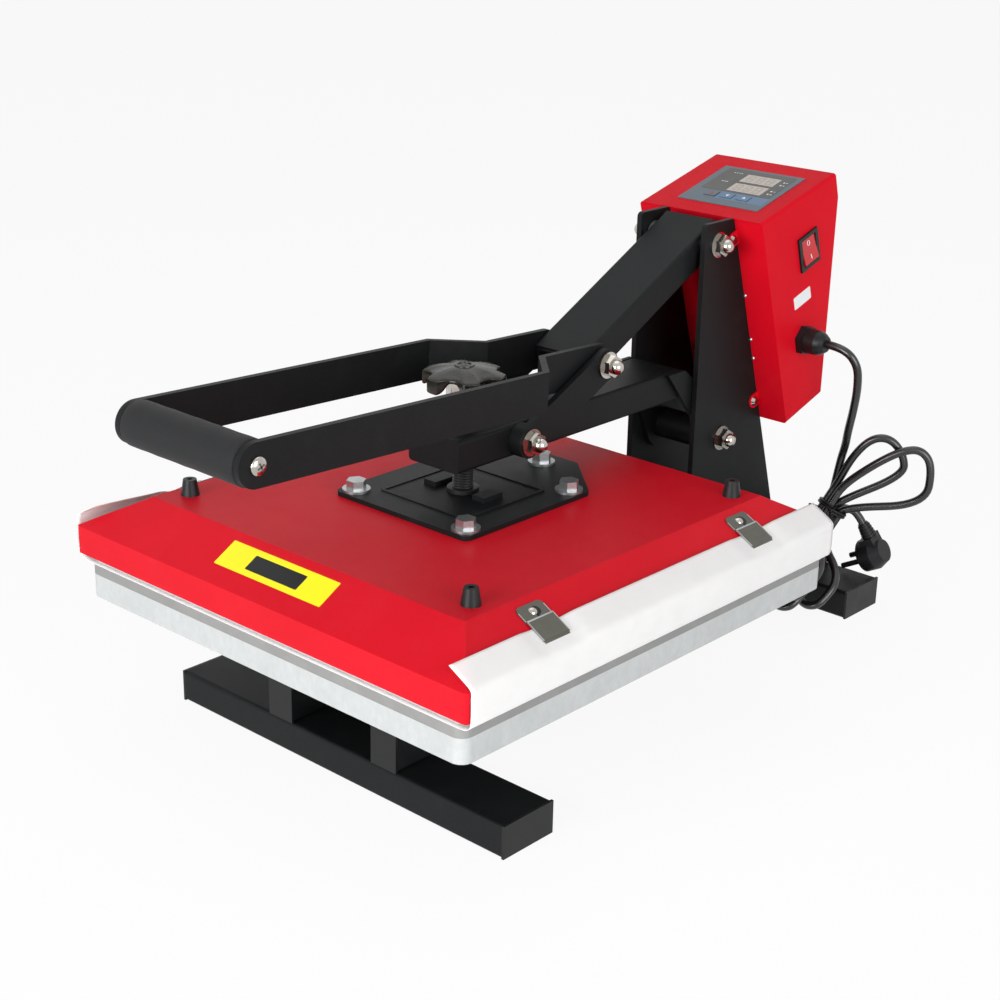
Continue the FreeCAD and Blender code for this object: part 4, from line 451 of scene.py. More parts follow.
# round piece that stands on z; top is its upper radius
def disc(x, y, z, radius, thick, segments=32, top=None):
    shape = bmesh.new()
    upper = radius if top is None else top
    bmesh.ops.create_cone(shape, cap_ends=True, segments=segments, radius1=radius * mm,
                          radius2=upper * mm, depth=thick * mm, matrix=moved(x, y, z + thick / 2))
    return shape


def placed(shape, place):
    bmesh.ops.transform(shape, matrix=place, verts=shape.verts)
    return shape


def joined(*shapes):
    first = shapes[0]
    for other in shapes[1:]:
        spare = meshOf("spare", other)
        first.from_mesh(spare)
        bpy.data.meshes.remove(spare)
    return first


# turned piece: its outline is radius and height pairs, spun about Z
def lathe(outline, segments=40):
    shape = bmesh.new()
    verts = [shape.verts.new(point(r, 0, z)) for r, z in outline]
    edges = [shape.edges.new(pair) for pair in zip(verts, verts[1:])]
    bmesh.ops.spin(shape, geom=verts + edges, cent=(0, 0, 0), axis=(0, 0, 1),
                   angle=math.tau, steps=segments, use_merge=True)
    bmesh.ops.remove_doubles(shape, verts=shape.verts, dist=1e-7)
    return shape


# makes the object, sets it in place and lets it ride on a body
def piece(name, shape, body, finishName, place=None, sharp=35):
    if place is not None:
        placed(shape, place)
    bmesh.ops.recalc_face_normals(shape, faces=shape.faces)
    mesh = meshOf(name, shape)
    for face in mesh.polygons:
        face.use_smooth = True
    mesh.set_sharp_from_angle(angle=math.radians(sharp))
    mesh.materials.append(finishes[finishName])
    made = newObject(name, mesh)
    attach(made, body)
    return made


# coated release sheet: one piece of cloth, clipped on both slopes

releaseSheet = {
    "length": 396, "front": -275.6, "steps": 110, "thick": 0.3,
    # half of its section from the middle out: x, z
    "section": [(0, 129.85), (95, 129.85), (178, 129.85), (189, 130), (194.6, 131), (197.4, 133.8),
                (198.1, 138.6), (198.2, 146), (198.1, 152), (197.5, 156.9), (192.6, 160.4),
                (186, 164.1), (178.6, 168.2)],
    # from lipX out it stands off the lips between two heights, by a mean and a ripple
    "lipX": 189, "lipLow": 130.5, "lipHigh": 157.5,
    "leftBelly": {"mean": 3.4, "ripple": 0.8, "waves": 6, "phase": 1},
    "rightBelly": {"least": 0.15, "mean": 1.9, "ripple": 0.35, "waves": 21},
    # it rises off the slopes, away from the clips, and more at the left's front end
    "slopeLow": 151, "slopeHigh": 160, "slopeWay": (0.49, 0.87),
    "clips": (-186.6, 39.9), "clipHalf": 13, "clipEase": 16,
    "rightLift": 1.5, "leftLift": 3, "leftCurl": 3.6, "curlFrom": -205, "curlLong": 70,
}


def smoothLine(points, perSpan):
    line = []
    ends = [points[0] * 2 - points[1]] + points + [points[-1] * 2 - points[-2]]
    for a, b, c, d in zip(ends, ends[1:], ends[2:], ends[3:]):
        for i in range(perSpan):
            t = i / perSpan
            line.append(0.5 * (2 * b + (c - a) * t + (2 * a - 5 * b + 4 * c - d) * t * t
                               + (3 * b - a - 3 * c + d) * t ** 3))
    line.append(points[-1])
    return line


def eased(value):
    value = min(1, max(0, value))
    return value * value * (3 - 2 * value)


# how far the cloth stands off a lip and rises off its slope, at y and this share of its length
def slack(side, along, y):
    facts = releaseSheet
    free = min(eased((abs(y - clip) - facts["clipHalf"]) / facts["clipEase"])
               for clip in facts["clips"])
    if side > 0:
        belly, bow = facts["rightBelly"], math.sin(math.pi * along)
        wave = belly["ripple"] * math.sin(along * belly["waves"]) * bow
        return belly["least"] + belly["mean"] * bow ** 0.6 + wave, facts["rightLift"] * free
    belly = facts["leftBelly"]
    off = belly["mean"] + belly["ripple"] * math.sin(along * belly["waves"] + belly["phase"])
    curl = facts["leftCurl"] * eased((facts["curlFrom"] - y) / facts["curlLong"])
    return off, (facts["leftLift"] + curl) * free


def makeReleaseSheet():
    facts = releaseSheet
    half = smoothLine([Vector((x, 0, z)) * mm for x, z in facts["section"]], 5)
    line = [Vector((-p.x, 0, p.z)) for p in reversed(half[1:])] + half
    cloth = bmesh.new()
    bmesh.ops.create_grid(cloth, x_segments=len(line) - 1, y_segments=facts["steps"], size=0.5)
    for v in cloth.verts:
        spot = line[round((v.co.x + 0.5) * (len(line) - 1))].copy()
        along = v.co.y + 0.5
        side = 1 if spot.x > 0 else -1
        y, high = facts["front"] + facts["length"] * along, spot.z / mm
        off, lift = slack(side, along, y)
        climb = (high - facts["lipLow"]) / (facts["lipHigh"] - facts["lipLow"])
        belly = math.sin(math.pi * min(1, max(0, climb)))
        lift *= eased((high - facts["slopeLow"]) / (facts["slopeHigh"] - facts["slopeLow"]))
        outward, upward = facts["slopeWay"]
        spot.x += side * outward * lift * mm
        spot.z += upward * lift * mm
        if abs(spot.x) > facts["lipX"] * mm:
            spot.x += side * off * belly * mm
        spot.y = y * mm
        v.co = spot
    sheet = piece("releaseSheet", cloth, "platen", "ptfeCloth", sharp=80)
    skin = sheet.modifiers.new("thickness", "SOLIDIFY")
    skin.thickness = facts["thick"] * mm
    skin.offset = 0
    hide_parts("ptfe_sheet")


makeReleaseSheet()


# silicone pad and grip foam

softPad = {"wide": 380, "long": 399, "middle": -74.6, "low": 121, "thick": 8.5, "corner": 9,
           "edge": 1.4}
# the foam's mouth has a soft corner, and its skin swells a little along its length
gripFoam = {"half": 55.7, "radius": 15.75, "y": -321.6, "z": 279, "bore": 8, "corner": 1.6,
            "cornerMiddle": (0.4, 0.5), "swell": 0.12, "waves": 2.4, "pitch": 9, "stations": 11}


def makeSoftPad():
    facts = softPad
    shape = slab(0, facts["middle"], facts["low"], facts["wide"], facts["long"], facts["thick"],
                 facts["corner"], facts["edge"], 10)
    pad = piece("softPad", shape, "frame", "siliconePad", sharp=50)
    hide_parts("silicone_pad")


def makeGripFoam():
    facts = gripFoam
    shape = bmesh.new()
    radius, corner, end = facts["radius"], facts["corner"], -facts["half"]
    inward, along = facts["cornerMiddle"]
    outline = [(facts["bore"], end), (radius - corner, end), (radius - inward, end + along),
               (radius, end + corner)]
    outline += [(radius + facts["swell"] * math.sin(t * facts["waves"]),
                 end + corner + t * facts["pitch"]) for t in range(1, facts["stations"] + 1)]
    outline += [(r, -x) for r, x in reversed(outline[:4])]
    verts = [shape.verts.new(point(x, 0, r)) for r, x in outline]
    edges = [shape.edges.new(pair) for pair in zip(verts, verts[1:] + verts[:1])]
    bmesh.ops.spin(shape, geom=verts + edges, cent=(0, 0, 0), axis=(1, 0, 0),
                   angle=math.tau, steps=64, use_merge=True)
    foam = piece("gripFoam", shape, "lever", "blackFoam",
                 moved(0, facts["y"], facts["z"]), 60)
    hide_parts("foam_grip")


makeSoftPad()
makeGripFoam()
print("soft pad and grip foam made")


# mains cord: out of the gland, down to a tied hank, and over to the plug

mainsCord = {
    "diameter": 7,
    "lead": [(85, 274.85, 243.6), (101, 274.85, 243.6), (112.3, 279.5, 231), (112, 283.5, 211),
             (106.5, 289, 188), (97.5, 298.5, 166), (89, 310.5, 148), (82, 316.5, 132)],
    # the strands lie at these places across the tie, in pitches and rows, and bend past its ends
    "tieCentre": (82.5, 308.4, 89), "tieAxis": (0.309, 0.407, 0.859), "pitch": 8.2, "tieHalf": 6,
    "strands": {"lead": (-0.5, 1), "firstOut": (-1, 0), "firstBack": (0, 0),
                "secondOut": (-0.5, -1), "secondBack": (1, 0), "tail": (0.5, 1)},
    # upper loops: along the hank's plane, up, back, radius and lean; then how the far side droops
    "plane": (0.866, 0.5, 0), "back": (-0.5, 0.866, 0),
    "upper": [(37.8, 48.1, 0.6, 19.2, 50.6), (58.7, 37.7, -7.1, 21, 32.7)],
    "droop": [((0, 0, 0), (0, 0, -3.6), (1.1, 0.1, -6.6)),
              ((-1, 0, 6), (0, 0, 7), (2.1, -1.2, -11.5))],
    # lower loops: along their stack, to the right, radius and reach from their common centre
    "lower": [(3, -7.4, 12.5, 6.8), (10.7, -3, 14, -3.3), (-14.1, 2.5, 12.5, -10.3)],
    "lowerCentre": (96.1, 244.5, 31.7), "lowerReach": (-0.152, -0.732, -0.68),
    "plugEntry": (100.9, 331.2, 73.3), "plugWay": (0.44, 0.26, -0.86), "plugStraight": 11,
    "tailTop": 2, "tailBend": (-10.9, -7.9, 13.2),
}


# the control points, in order from the gland to the plug
def cordRoute():
    facts = mainsCord
    axis = Vector(facts["tieAxis"]).normalized()
    centre = Vector(facts["tieCentre"])
    plane, back, upwards = Vector(facts["plane"]), Vector(facts["back"]), Vector((0, 0, 1))
    across = back.cross(axis).normalized()
    inward = axis.cross(across)
    row = facts["pitch"] * math.sqrt(3) / 2
    high, low = facts["tieHalf"], -facts["tieHalf"]

    def waist(name, along):
        side, deep = facts["strands"][name]
        return centre + axis * along + across * side * facts["pitch"] + inward * deep * row

    # out along the strand, round a half turn, and back
    def turnRound(start, startWay, middle, reach, side, radius, end, endWay):
        points = []
        near, far = middle - side * radius, middle + side * radius
        for a, wayA, b, wayB in ((start, startWay, near, reach), (far, -reach, end, endWay)):
            gap, both = b - a, wayA + wayB
            blunt = 2 * (1 - wayA.dot(wayB))
            flat = gap.dot(both)
            step = (math.sqrt(flat * flat + blunt * gap.dot(gap)) - flat) / blunt
            points.append([a + wayA * step, b - wayB * step])
        bow = radius / math.cos(math.pi / 8)
        bend = [middle - side * bow * math.cos(a) + reach * bow * math.sin(a)
                for a in (math.pi * k / 8 for k in (1, 3, 5, 7))]
        return points[0] + bend + points[1]

    def upperLoop(index, out, home):
        along, rise, shift, radius, lean = facts["upper"][index]
        middle = centre + plane * along + upwards * rise + back * shift
        lean = math.radians(lean)
        reach = plane * math.cos(lean) + upwards * math.sin(lean)
        side = plane * math.sin(lean) - upwards * math.cos(lean)
        points = turnRound(waist(out, high), axis, middle, reach, side, radius,
                           waist(home, high), -axis)
        return points[:3] + [p + Vector(d) for p, d in zip(points[3:], facts["droop"][index])]

    lowReach = Vector(facts["lowerReach"]).normalized()
    lowSide = (Vector((1, 0, 0)) - lowReach * lowReach.x).normalized()
    lowNormal = lowReach.cross(lowSide)

    def lowerLoop(index, down, up):
        stack, right, radius, far = facts["lower"][index]
        middle = (Vector(facts["lowerCentre"]) + lowNormal * stack + lowSide * right
                  + lowReach * far)
        return turnRound(waist(down, low), -axis, middle, lowReach, -lowSide, radius,
                         waist(up, low), axis)

    def through(name, first, last):
        return [waist(name, first), waist(name, last)]

    route = [Vector(p) for p in facts["lead"]]
    route += through("lead", high, low) + lowerLoop(0, "lead", "firstOut")
    route += through("firstOut", low, high) + upperLoop(0, "firstOut", "firstBack")
    route += through("firstBack", high, low) + lowerLoop(1, "firstBack", "secondOut")
    route += through("secondOut", low, high) + upperLoop(1, "secondOut", "secondBack")
    route += through("secondBack", high, low) + lowerLoop(2, "secondBack", "tail")
    entry, way = Vector(facts["plugEntry"]), Vector(facts["plugWay"]).normalized()
    route += through("tail", low, facts["tailTop"])
    route += [entry + Vector(facts["tailBend"]), entry - way * facts["plugStraight"], entry]
    return [p * mm for p in route]


# round tube along the given points
def tube(points, radius, sides=10):
    shape = bmesh.new()
    rings = []
    aside = None
    for i, here in enumerate(points):
        way = (points[min(i + 1, len(points) - 1)] - points[max(i - 1, 0)]).normalized()
        aside = way.orthogonal() if aside is None else aside - way * aside.dot(way)
        aside.normalize()
        other = way.cross(aside)
        turns = [math.tau * k / sides for k in range(sides)]
        rings.append([shape.verts.new(here + (aside * math.cos(a) + other * math.sin(a))
                                      * radius * mm) for a in turns])
    for low, high in zip(rings, rings[1:]):
        for k in range(sides):
            shape.faces.new((low[k], low[(k + 1) % sides], high[(k + 1) % sides], high[k]))
    shape.faces.new(list(reversed(rings[0])))
    shape.faces.new(rings[-1])
    return shape


# wire tie: turns round the strands, then its two ends twisted together and hanging down
twistTie = {"radius": 12.9, "wire": 1.2, "turns": 2, "sides": 48, "rise": 2.3,
            "knotWay": (0.485, -0.803, 0.346), "knotOff": 0.6, "end": 17,
            "endWay": (0.3, -0.3, -0.9), "endSteps": 40, "twist": 0.55, "endRadius": 1.1,
            "endWire": 1.02}


def makeTwistTie():
    facts = twistTie
    axis = Vector(mainsCord["tieAxis"]).normalized()
    centre = Vector(mainsCord["tieCentre"])
    near = Vector(facts["knotWay"])
    near = (near - axis * near.dot(axis)).normalized()
    side = axis.cross(near)
    loops = []
    count = facts["turns"] * facts["sides"]
    for k in range(count + 1):
        a = math.tau * k / facts["sides"]
        loops.append((centre + axis * facts["rise"] * (2 * k / count - 1)
                      + (near * math.cos(a) + side * math.sin(a)) * facts["radius"]) * mm)
    way = Vector(facts["endWay"]).normalized()
    across = way.orthogonal().normalized()
    other = way.cross(across)
    start = centre + near * (facts["radius"] + facts["knotOff"])
    strands = [tube(loops, facts["wire"])]
    for phase in (0, math.pi):
        end = []
        for k in range(facts["endSteps"] + 1):
            a = k * facts["twist"] + phase
            end.append((start + way * facts["end"] * k / facts["endSteps"]
                        + (across * math.cos(a) + other * math.sin(a)) * facts["endRadius"]) * mm)
        strands.append(tube(end, facts["endWire"]))
    tie = piece("twistTie", joined(*strands), "frame", "blackPlastic", sharp=60)
    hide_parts("cord_tie")
    return tie


def makeCord():
    route = cordRoute()
    curve = bpy.data.curves.new("mainsCord", "CURVE")
    curve.dimensions = "3D"
    curve.resolution_u = 10
    curve.bevel_depth = mainsCord["diameter"] / 2 * mm
    curve.bevel_resolution = 5
    curve.use_fill_caps = True
    spline = curve.splines.new("NURBS")
    spline.points.add(len(route) - 1)
    for spot, place in zip(spline.points, route):
        spot.co = (*place, 1)
    spline.order_u = 3
    spline.use_endpoint_u = True
    curve.materials.append(finishes["cordSheath"])
    cord = newObject("mainsCord", curve)
    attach(cord, "frame")
    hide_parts("mains_lead", "cord_hank", "cord_tail")
    makeTwistTie()


makeCord()


# control panel on the box's top

# field and key zone: middle x and y, width, length, thickness and corner
panel = {"top": 0.6, "field": (5, 62.5, 68, 42, 0.1, 1.5),
         "windowX": 11.3, "windowsY": (51.5, 69.8), "windowWide": 33.5, "windowLong": 15,
         "figures": 3, "figureStep": 9.6, "figureHigh": 9.6,
         "figureWide": 0.52, "barWide": 0.12, "barThick": 0.08,
         "keyZone": (18, 33.6, 47, 13.6, 0.08, 1), "keysX": (3.4, 19.6), "keyY": 34,
         "keyHole": (11.8, 8.8), "setX": -12.3, "print": 0.5, "arrow": 2.2, "dot": 2.4,
         # bars that stand for words: first x, y and how many; dots and dashes lie on the rows
         "words": ((-19, 76.5, 4), (-19, 58.5, 3)), "wordStep": 2.4, "word": (1.4, 0.8),
         "rows": (72.5, 67, 54, 48.5), "dotX": 33.2, "dotRadius": 0.9, "dashX": 36,
         "dash": (2, 0.6), "ink": 0.05}


# seven slim bars of one unlit figure
def digit(x, y, z):
    high, thick = panel["figureHigh"], panel["barThick"]
    wide, bar = high * panel["figureWide"], high * panel["barWide"]
    spots = [(0, high / 2, wide, bar), (0, 0, wide, bar), (0, -high / 2, wide, bar)]
    spots += [(s * wide / 2, t * high / 4, bar, high / 2 - bar) for s in (-1, 1) for t in (-1, 1)]
    return joined(*[slab(x + a, y + b, z, c, d, thick) for a, b, c, d in spots])


# a thin print with right-angled holes in it, each a middle x and y, a width and a length
def printWithHoles(sizes, holes):
    x, y, wide, long, thick, corner = sizes
    shape = slab(x, y, panel["top"], wide, long, thick, corner)
    cuts = {(x + s * wide / 2, (1, 0, 0)) for x, y, wide, long in holes for s in (-1, 1)}
    cuts |= {(y + s * long / 2, (0, 1, 0)) for x, y, wide, long in holes for s in (-1, 1)}
    for at, way in sorted(cuts):
        bmesh.ops.bisect_plane(shape, geom=shape.verts[:] + shape.edges[:] + shape.faces[:],
                               plane_co=Vector(way) * at * mm, plane_no=way)
    inside = []
    for face in shape.faces:
        c = face.calc_center_median() / mm
        if any(abs(c.x - x) < wide / 2 - 0.1 and abs(c.y - y) < long / 2 - 0.1
               for x, y, wide, long in holes):
            inside.append(face)
    bmesh.ops.delete(shape, geom=inside, context="FACES")
    return shape


def makePanel():
    facts = panel
    z = facts["top"]
    windows = [(facts["windowX"], y, facts["windowWide"], facts["windowLong"])
               for y in facts["windowsY"]]
    piece("panelField", printWithHoles(facts["field"], windows), "frame", "panelDark",
          topFrame)
    keys = [(x, facts["keyY"], *facts["keyHole"]) for x in facts["keysX"]]
    piece("keyZone", printWithHoles(facts["keyZone"], keys), "frame", "keyBlue",
          topFrame)
    middle = (facts["figures"] - 1) / 2
    figures = [digit(facts["windowX"] + (i - middle) * facts["figureStep"], y, z + 0.02)
               for y in facts["windowsY"] for i in range(facts["figures"])]
    piece("displayFigures", joined(*figures), "frame", "segmentGrey", topFrame)
    marks = [slab(x + i * facts["wordStep"], y, z + 0.1, *facts["word"], facts["ink"])
             for x, y, count in facts["words"] for i in range(count)]
    marks += [disc(facts["dotX"], y, z + 0.1, facts["dotRadius"], facts["ink"], 16)
              for y in facts["rows"]]
    marks += [slab(facts["dashX"], y, z + 0.1, *facts["dash"], facts["ink"])
              for y in facts["rows"]]
    piece("panelMarks", joined(*marks), "frame", "printWhite", topFrame)


# an arrow down and one up, and a dot on the set key
def makeKeyMarks():
    z = panel["top"] + panel["print"]
    for name, x, angle in zip(("down", "up"), panel["keysX"], (180, 0)):
        arrow = placed(disc(0, 0, z, panel["arrow"], 0.06, 3), turned(angle, "Z"))
        piece(name + "Arrow", arrow, "key_" + name + "_body", "printWhite",
              topFrame @ moved(x, panel["keyY"] + 0.4, 0))
    piece("setDot", disc(panel["setX"], panel["keyY"], z, panel["dot"], 0.06, 24),
          "key_set_body", "printRed", topFrame)


makePanel()
makeKeyMarks()


# rocker marks, blank label and small screw tips on the control box

# label: middle y and z on the wall, width and height; bar: a slab's place and size
boxTrim = {"rocker": (59.5, 56.5, -51), "tilt": 8, "half": 3.8, "face": 3.62,
           "ring": {"y": 6, "wide": 1.7, "high": 2, "wire": 0.28, "z": 0.02, "steps": 24},
           "bar": (0, -6, 0, 0.8, 4, 0.1), "label": (41.5, -88.5, 24, 11), "labelThick": 0.15,
           "tips": [(-36.4, -90.3), (-36.4, -113.8), (35.2, -70), (35.2, -111.5), (35.2, -129.5)],
           "tip": {"radius": 1.6, "high": 1.2, "segments": 16, "top": 0.9}}


# a frame on the side wall: its own X runs to the rear, its Y up and its Z outwards
def wallFrame(lean):
    a = math.radians(lean)
    axes = Matrix((Vector((0, 1, 0)), Vector((math.sin(a), 0, math.cos(a))),
                   Vector((math.cos(a), 0, -math.sin(a)))))
    return axes.transposed().to_4x4()


def makeBoxTrim():
    facts = boxTrim
    y, z, wide, high = facts["label"]
    piece("blankLabel", slab(0, 0, 0, wide, high, facts["labelThick"], 1.2), "frame",
          "printWhite", boxFrame @ moved(controlBox["wallX"], y, z) @ wallFrame(0))

    tipped = (boxFrame @ moved(*facts["rocker"]) @ turned(-facts["tilt"], "Y")
              @ moved(facts["face"], 0, 0))
    ring = facts["ring"]
    angles = [math.tau * k / ring["steps"] for k in range(ring["steps"] + 1)]
    line = [point(ring["wide"] * math.cos(a), ring["y"] + ring["high"] * math.sin(a), ring["z"])
            for a in angles]
    piece("rockerRing", tube(line, ring["wire"], 6), "rocker_body", "printWhite",
          tipped @ wallFrame(facts["half"]))
    piece("rockerBar", slab(*facts["bar"]), "rocker_body", "printWhite",
          tipped @ wallFrame(-facts["half"]))

    tip = facts["tip"]
    tips = [disc(x, z, 0, tip["radius"], tip["high"], tip["segments"], tip["top"])
            for x, z in facts["tips"]]
    piece("screwTips", joined(*tips), "frame", "zinc", boxFrame @ turned(90, "X"))


makeBoxTrim()
print("panel and box trim made")


# pressure screw with its collar and flange, and the knob's hexagon barrel

# collar and flange: foot, top and radius; barrel: foot, width over flats and top
screw = {"y": -74.6, "radius": 8, "core": 7.1, "pitch": 2, "bottom": 171.2, "top": 262.9,
         "sides": 32, "step": 0.5, "collar": (173.2, 179.2, 12), "flange": (182.8, 186.8, 12),
         "ringBore": 6.9, "ringEdge": 0.6, "barrel": (250, 24, 272.4), "barrelCorner": 1,
         "barrelEdge": 0.8}


def makeScrew():
    facts = screw
    shape = bmesh.new()
    rows = []
    sides = facts["sides"]
    count = round((facts["top"] - facts["bottom"]) / facts["step"])
    for i in range(count + 1):
        z = facts["bottom"] + (facts["top"] - facts["bottom"]) * i / count
        row = []
        for k in range(sides):
            phase = (z / facts["pitch"] - k / sides) % 1
            r = facts["core"] + (facts["radius"] - facts["core"]) * (1 - abs(2 * phase - 1))
            a = math.tau * k / sides
            row.append(shape.verts.new(point(r * math.cos(a), r * math.sin(a), z)))
        rows.append(row)
    for low, high in zip(rows, rows[1:]):
        for k in range(sides):
            shape.faces.new((low[k], low[(k + 1) % sides], high[(k + 1) % sides], high[k]))
    shape.faces.new(list(reversed(rows[0])))
    shape.faces.new(rows[-1])
    bore, edge = facts["ringBore"], facts["ringEdge"]
    rings = [lathe([(bore, low), (radius - edge, low), (radius, low + edge), (radius, high - edge),
                    (radius - edge, high), (bore, high), (bore, low)])
             for low, high, radius in (facts["collar"], facts["flange"])]
    middle = moved(0, facts["y"], 0)
    made = piece("pressureScrew", joined(shape, *rings), "screw", "darkSteel",
                 middle, 30)
    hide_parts("pressure_screw")

    low, flats, high = facts["barrel"]
    barrel = disc(0, 0, low, flats / math.sqrt(3), high - low, 6)
    bevelled(barrel, [e for e in barrel.edges if edgeRise(e) > (high - low) / 2 * mm],
             facts["barrelCorner"])
    bevelled(barrel, [e for e in barrel.edges if all(v.co.z < (low + 0.01) * mm for v in e.verts)],
             facts["barrelEdge"], 2)
    piece("knobBarrel", barrel, "screw", "chrome", middle, 30)


# star knob: lobes of one radius, with valleys cut by circles that stand off its middle

knob = {"radius": 31, "lobes": 6, "phase": 293.3, "valleyReach": 37.5, "valleyRadius": 13,
        "low": 263, "arch": 8.4, "archWide": 0.26, "crown": 279.4, "rim": 274, "rimRise": 0.12,
        "steps": 180,
        # its section from crown to bore: steps in from the edge, and up from rim or foot
        "shoulder": [(4, 1.3), (1.4, 0.3), (0.3, -0.6), (0, -1.4)],
        "foot": [(0, 0.9), (0.7, 0.1), (1.8, 0), (2.6, 0.8)], "inside": (3, -3),
        "under": [(15, -1.7), (11, -1.6), (3, -1.6)],
        # the ring on its crown, as radius and height from there, and the boss in its middle
        "ring": [(4.8, -0.4), (5, 0.5), (6, 0.9), (7.3, 0.5), (7.7, -0.6), (4.8, -0.4)],
        "boss": [(0, 0.6), (2, 0.5), (3, -0.2), (0, -0.2)]}


# hollow and moulded, with deep skirts and an arch in each valley
def makeKnob():
    facts = knob
    shape = bmesh.new()
    rows = []
    span = math.tau / facts["lobes"]
    crown = facts["crown"]
    for k in range(facts["steps"]):
        a = math.tau * k / facts["steps"]
        off = (a - math.radians(facts["phase"]) + span / 2) % span - span / 2
        across = facts["valleyReach"] * math.sin(off)
        edge = facts["radius"]
        if abs(across) < facts["valleyRadius"]:
            edge = min(edge, facts["valleyReach"] * math.cos(off)
                       - math.sqrt(facts["valleyRadius"] ** 2 - across ** 2))
        rim = facts["rim"] + (facts["radius"] - edge) * facts["rimRise"]
        low = facts["low"] + facts["arch"] * math.exp(-(off / facts["archWide"]) ** 4)
        line = [(3, crown), (9, crown - 0.3), (edge * 0.6, crown * 0.7 + rim * 0.3)]
        line += [(edge - inward, rim + up) for inward, up in facts["shoulder"]]
        line += [(edge - inward, low + up) for inward, up in facts["foot"]]
        inward, up = facts["inside"]
        line.append((edge - inward, rim + up))
        line += [(r, rim + up) for r, up in facts["under"]]
        rows.append([shape.verts.new(point(r * math.cos(a), r * math.sin(a), z)) for r, z in line])
    for one, two in zip(rows, rows[1:] + rows[:1]):
        for i in range(len(one) - 1):
            shape.faces.new((one[i], one[i + 1], two[i + 1], two[i]))
    shape.faces.new([row[0] for row in rows])
    shape.faces.new([row[-1] for row in rows])
    ring, boss = (lathe([(r, crown + up) for r, up in facts[name]]) for name in ("ring", "boss"))
    made = piece("starKnob", joined(shape, ring, boss), "screw", "knobPlastic",
                 moved(0, screw["y"], 0), 40)
    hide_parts("star_knob")


# cross-head screws in the ends of the grip, their cross recesses drawn as darker bars for painted
# shade

gripEnds = {"x": 61, "y": -321.6, "z": 279, "head": 6.4, "brim": 1.5, "thick": 4.1,
            "dome": (0.25, 0.5, 0.8, 1.1, 1.35), "shank": 4, "deep": 19,
            "cross": (6, 1.2), "crossDeep": 0.5, "crossTurn": 25}


def makeGripEnds():
    facts = gripEnds
    head, brim, thick = facts["head"], facts["brim"], facts["thick"]
    outline = [(0, -facts["deep"]), (facts["shank"], -facts["deep"]), (facts["shank"], -0.02),
               (head, 0), (head, brim)]
    outline += [(head * math.cos(a), brim + (thick - brim) * math.sin(a)) for a in facts["dome"]]
    outline.append((0, thick))
    heads, crosses = [], []
    for way in (-1, 1):
        place = moved(way * facts["x"], facts["y"], facts["z"]) @ turned(90 * way, "Y")
        heads.append(placed(lathe(outline, 48), place))
        # each cross is a darker bar on the head: painted shade in the recess
        for long, wide in (facts["cross"], facts["cross"][::-1]):
            bar = slab(0, 0, thick - facts["crossDeep"], long, wide, facts["crossDeep"] + 0.04, 0.5)
            crosses.append(placed(bar, place @ turned(facts["crossTurn"], "Z")))
    made = piece("gripScrews", joined(*heads), "lever", "chrome", sharp=40)
    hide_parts("grip_end_screws")
    piece("gripScrewCrossShade", joined(*crosses), "lever", "clipSteel", sharp=40)


# painted highlights as bright strips on each sheet clip's edges and step, painted shade as a dark
# keyhole, and a turned-down lip

# along the clip from its start: a lower flat, a step up and an upper flat, as middle and length
clipTrim = {"start": 162.7, "high": 176.29, "slope": 29.36, "wide": 25,
            "lowTop": 1, "highTop": 2.1, "lowFlat": (8, 8), "highFlat": (21, 16.5), "stepAt": 12.6,
            "stepLong": 1.2, "highlightWide": 0.8, "highlightThick": 0.06, "sideHigh": 0.9,
            "holeAt": 6.6, "holeY": 2.4, "holeRadius": 3.7, "slotAt": 10.4, "slotY": 1,
            "slotSize": (3, 2.4), "lipAt": 29.9, "lipLong": 3, "lipThick": 0.8, "lipZ": 0.75,
            "lipTurn": 24}


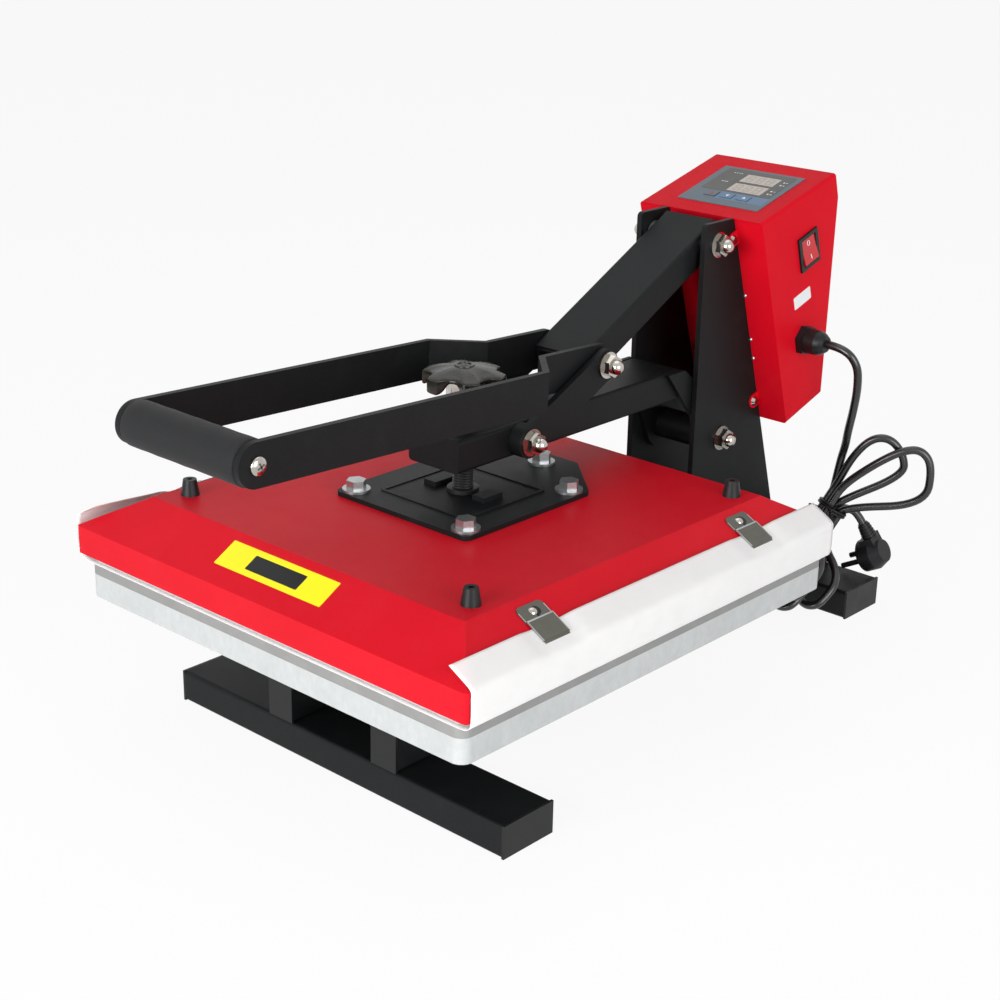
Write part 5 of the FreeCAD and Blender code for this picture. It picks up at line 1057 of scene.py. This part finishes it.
def makeClipTrim():
    facts = clipTrim
    wide, half, thin = facts["wide"], facts["wide"] / 2, facts["highlightThick"]
    lowTop, highTop = facts["lowTop"], facts["highTop"]
    edges, slots, lips = [], [], []
    for way in (-1, 1):
        for y in releaseSheet["clips"]:
            place = moved(way * facts["start"], y, facts["high"]) @ turned(way * facts["slope"], "Y")
            # the bright strips stand for light caught on the step and the edges: painted highlights
            highlightStrips = [slab(way * facts["stepAt"], 0, highTop, facts["stepLong"], wide, thin, 0,
                           0.04)]
            for end in (-1, 1):
                for (at, long), top in ((facts["lowFlat"], lowTop), (facts["highFlat"], highTop)):
                    highlightStrips.append(slab(way * at, end * (half - 0.35), top, long, facts["highlightWide"],
                                       thin))
                highlightStrips.append(slab(way * at, end * (half + 0.02), lowTop + 0.15, long, thin,
                                   facts["sideHigh"]))
            edges += [placed(strip, place) for strip in highlightStrips]
            # the dark discs and slots in the keyholes are painted shade for the hollow beneath
            slots += [placed(disc(way * facts["holeAt"], facts["holeY"], lowTop - 0.04,
                                  facts["holeRadius"], 0.07, 24), place),
                      placed(slab(way * facts["slotAt"], facts["slotY"], lowTop - 0.04,
                                  *facts["slotSize"], 0.07, 0.9), place)]
            lip = slab(0, 0, 0, facts["lipLong"], wide - 1, facts["lipThick"], 0, 0.2)
            lips.append(placed(lip, place @ moved(way * facts["lipAt"], 0, facts["lipZ"])
                               @ turned(way * facts["lipTurn"], "Y")))
    piece("clipEdgeHighlights", joined(*edges), "platen", "zinc")
    piece("clipKeyholeShade", joined(*slots), "platen", "blackPlastic")
    piece("clipLips", joined(*lips), "platen", "clipSteel")


makeScrew()
makeKnob()
makeGripEnds()
makeClipTrim()
print("screw, knob, grip ends and clip trim made")


# plain yellow strip with an empty dark bar, on the cover's front slope

# the slope drops by fall over run from its upper edge; strip and bar: width, length, thickness
# and corner
stripe = {"x": -2, "y": -255.2, "edgeY": -238.6, "edgeZ": 179.5, "fall": 22.5, "run": 40,
          "strip": (107.5, 22.5, 0.12, 0.8), "bar": (52, 13, 0.05, 1), "off": 0.02}


def makeStripe():
    facts = stripe
    z = facts["edgeZ"] - facts["fall"] / facts["run"] * (facts["edgeY"] - facts["y"])
    slope = math.degrees(math.atan2(facts["fall"], facts["run"]))
    place = moved(facts["x"], facts["y"], z) @ turned(slope, "X")
    piece("yellowStrip", slab(0, 0, facts["off"], *facts["strip"]), "platen", "stickerYellow",
          place)
    piece("darkBar", slab(0, 0, facts["off"] + facts["strip"][2], *facts["bar"]), "platen",
          "blackPlastic", place)


makeStripe()
print("yellow strip made")
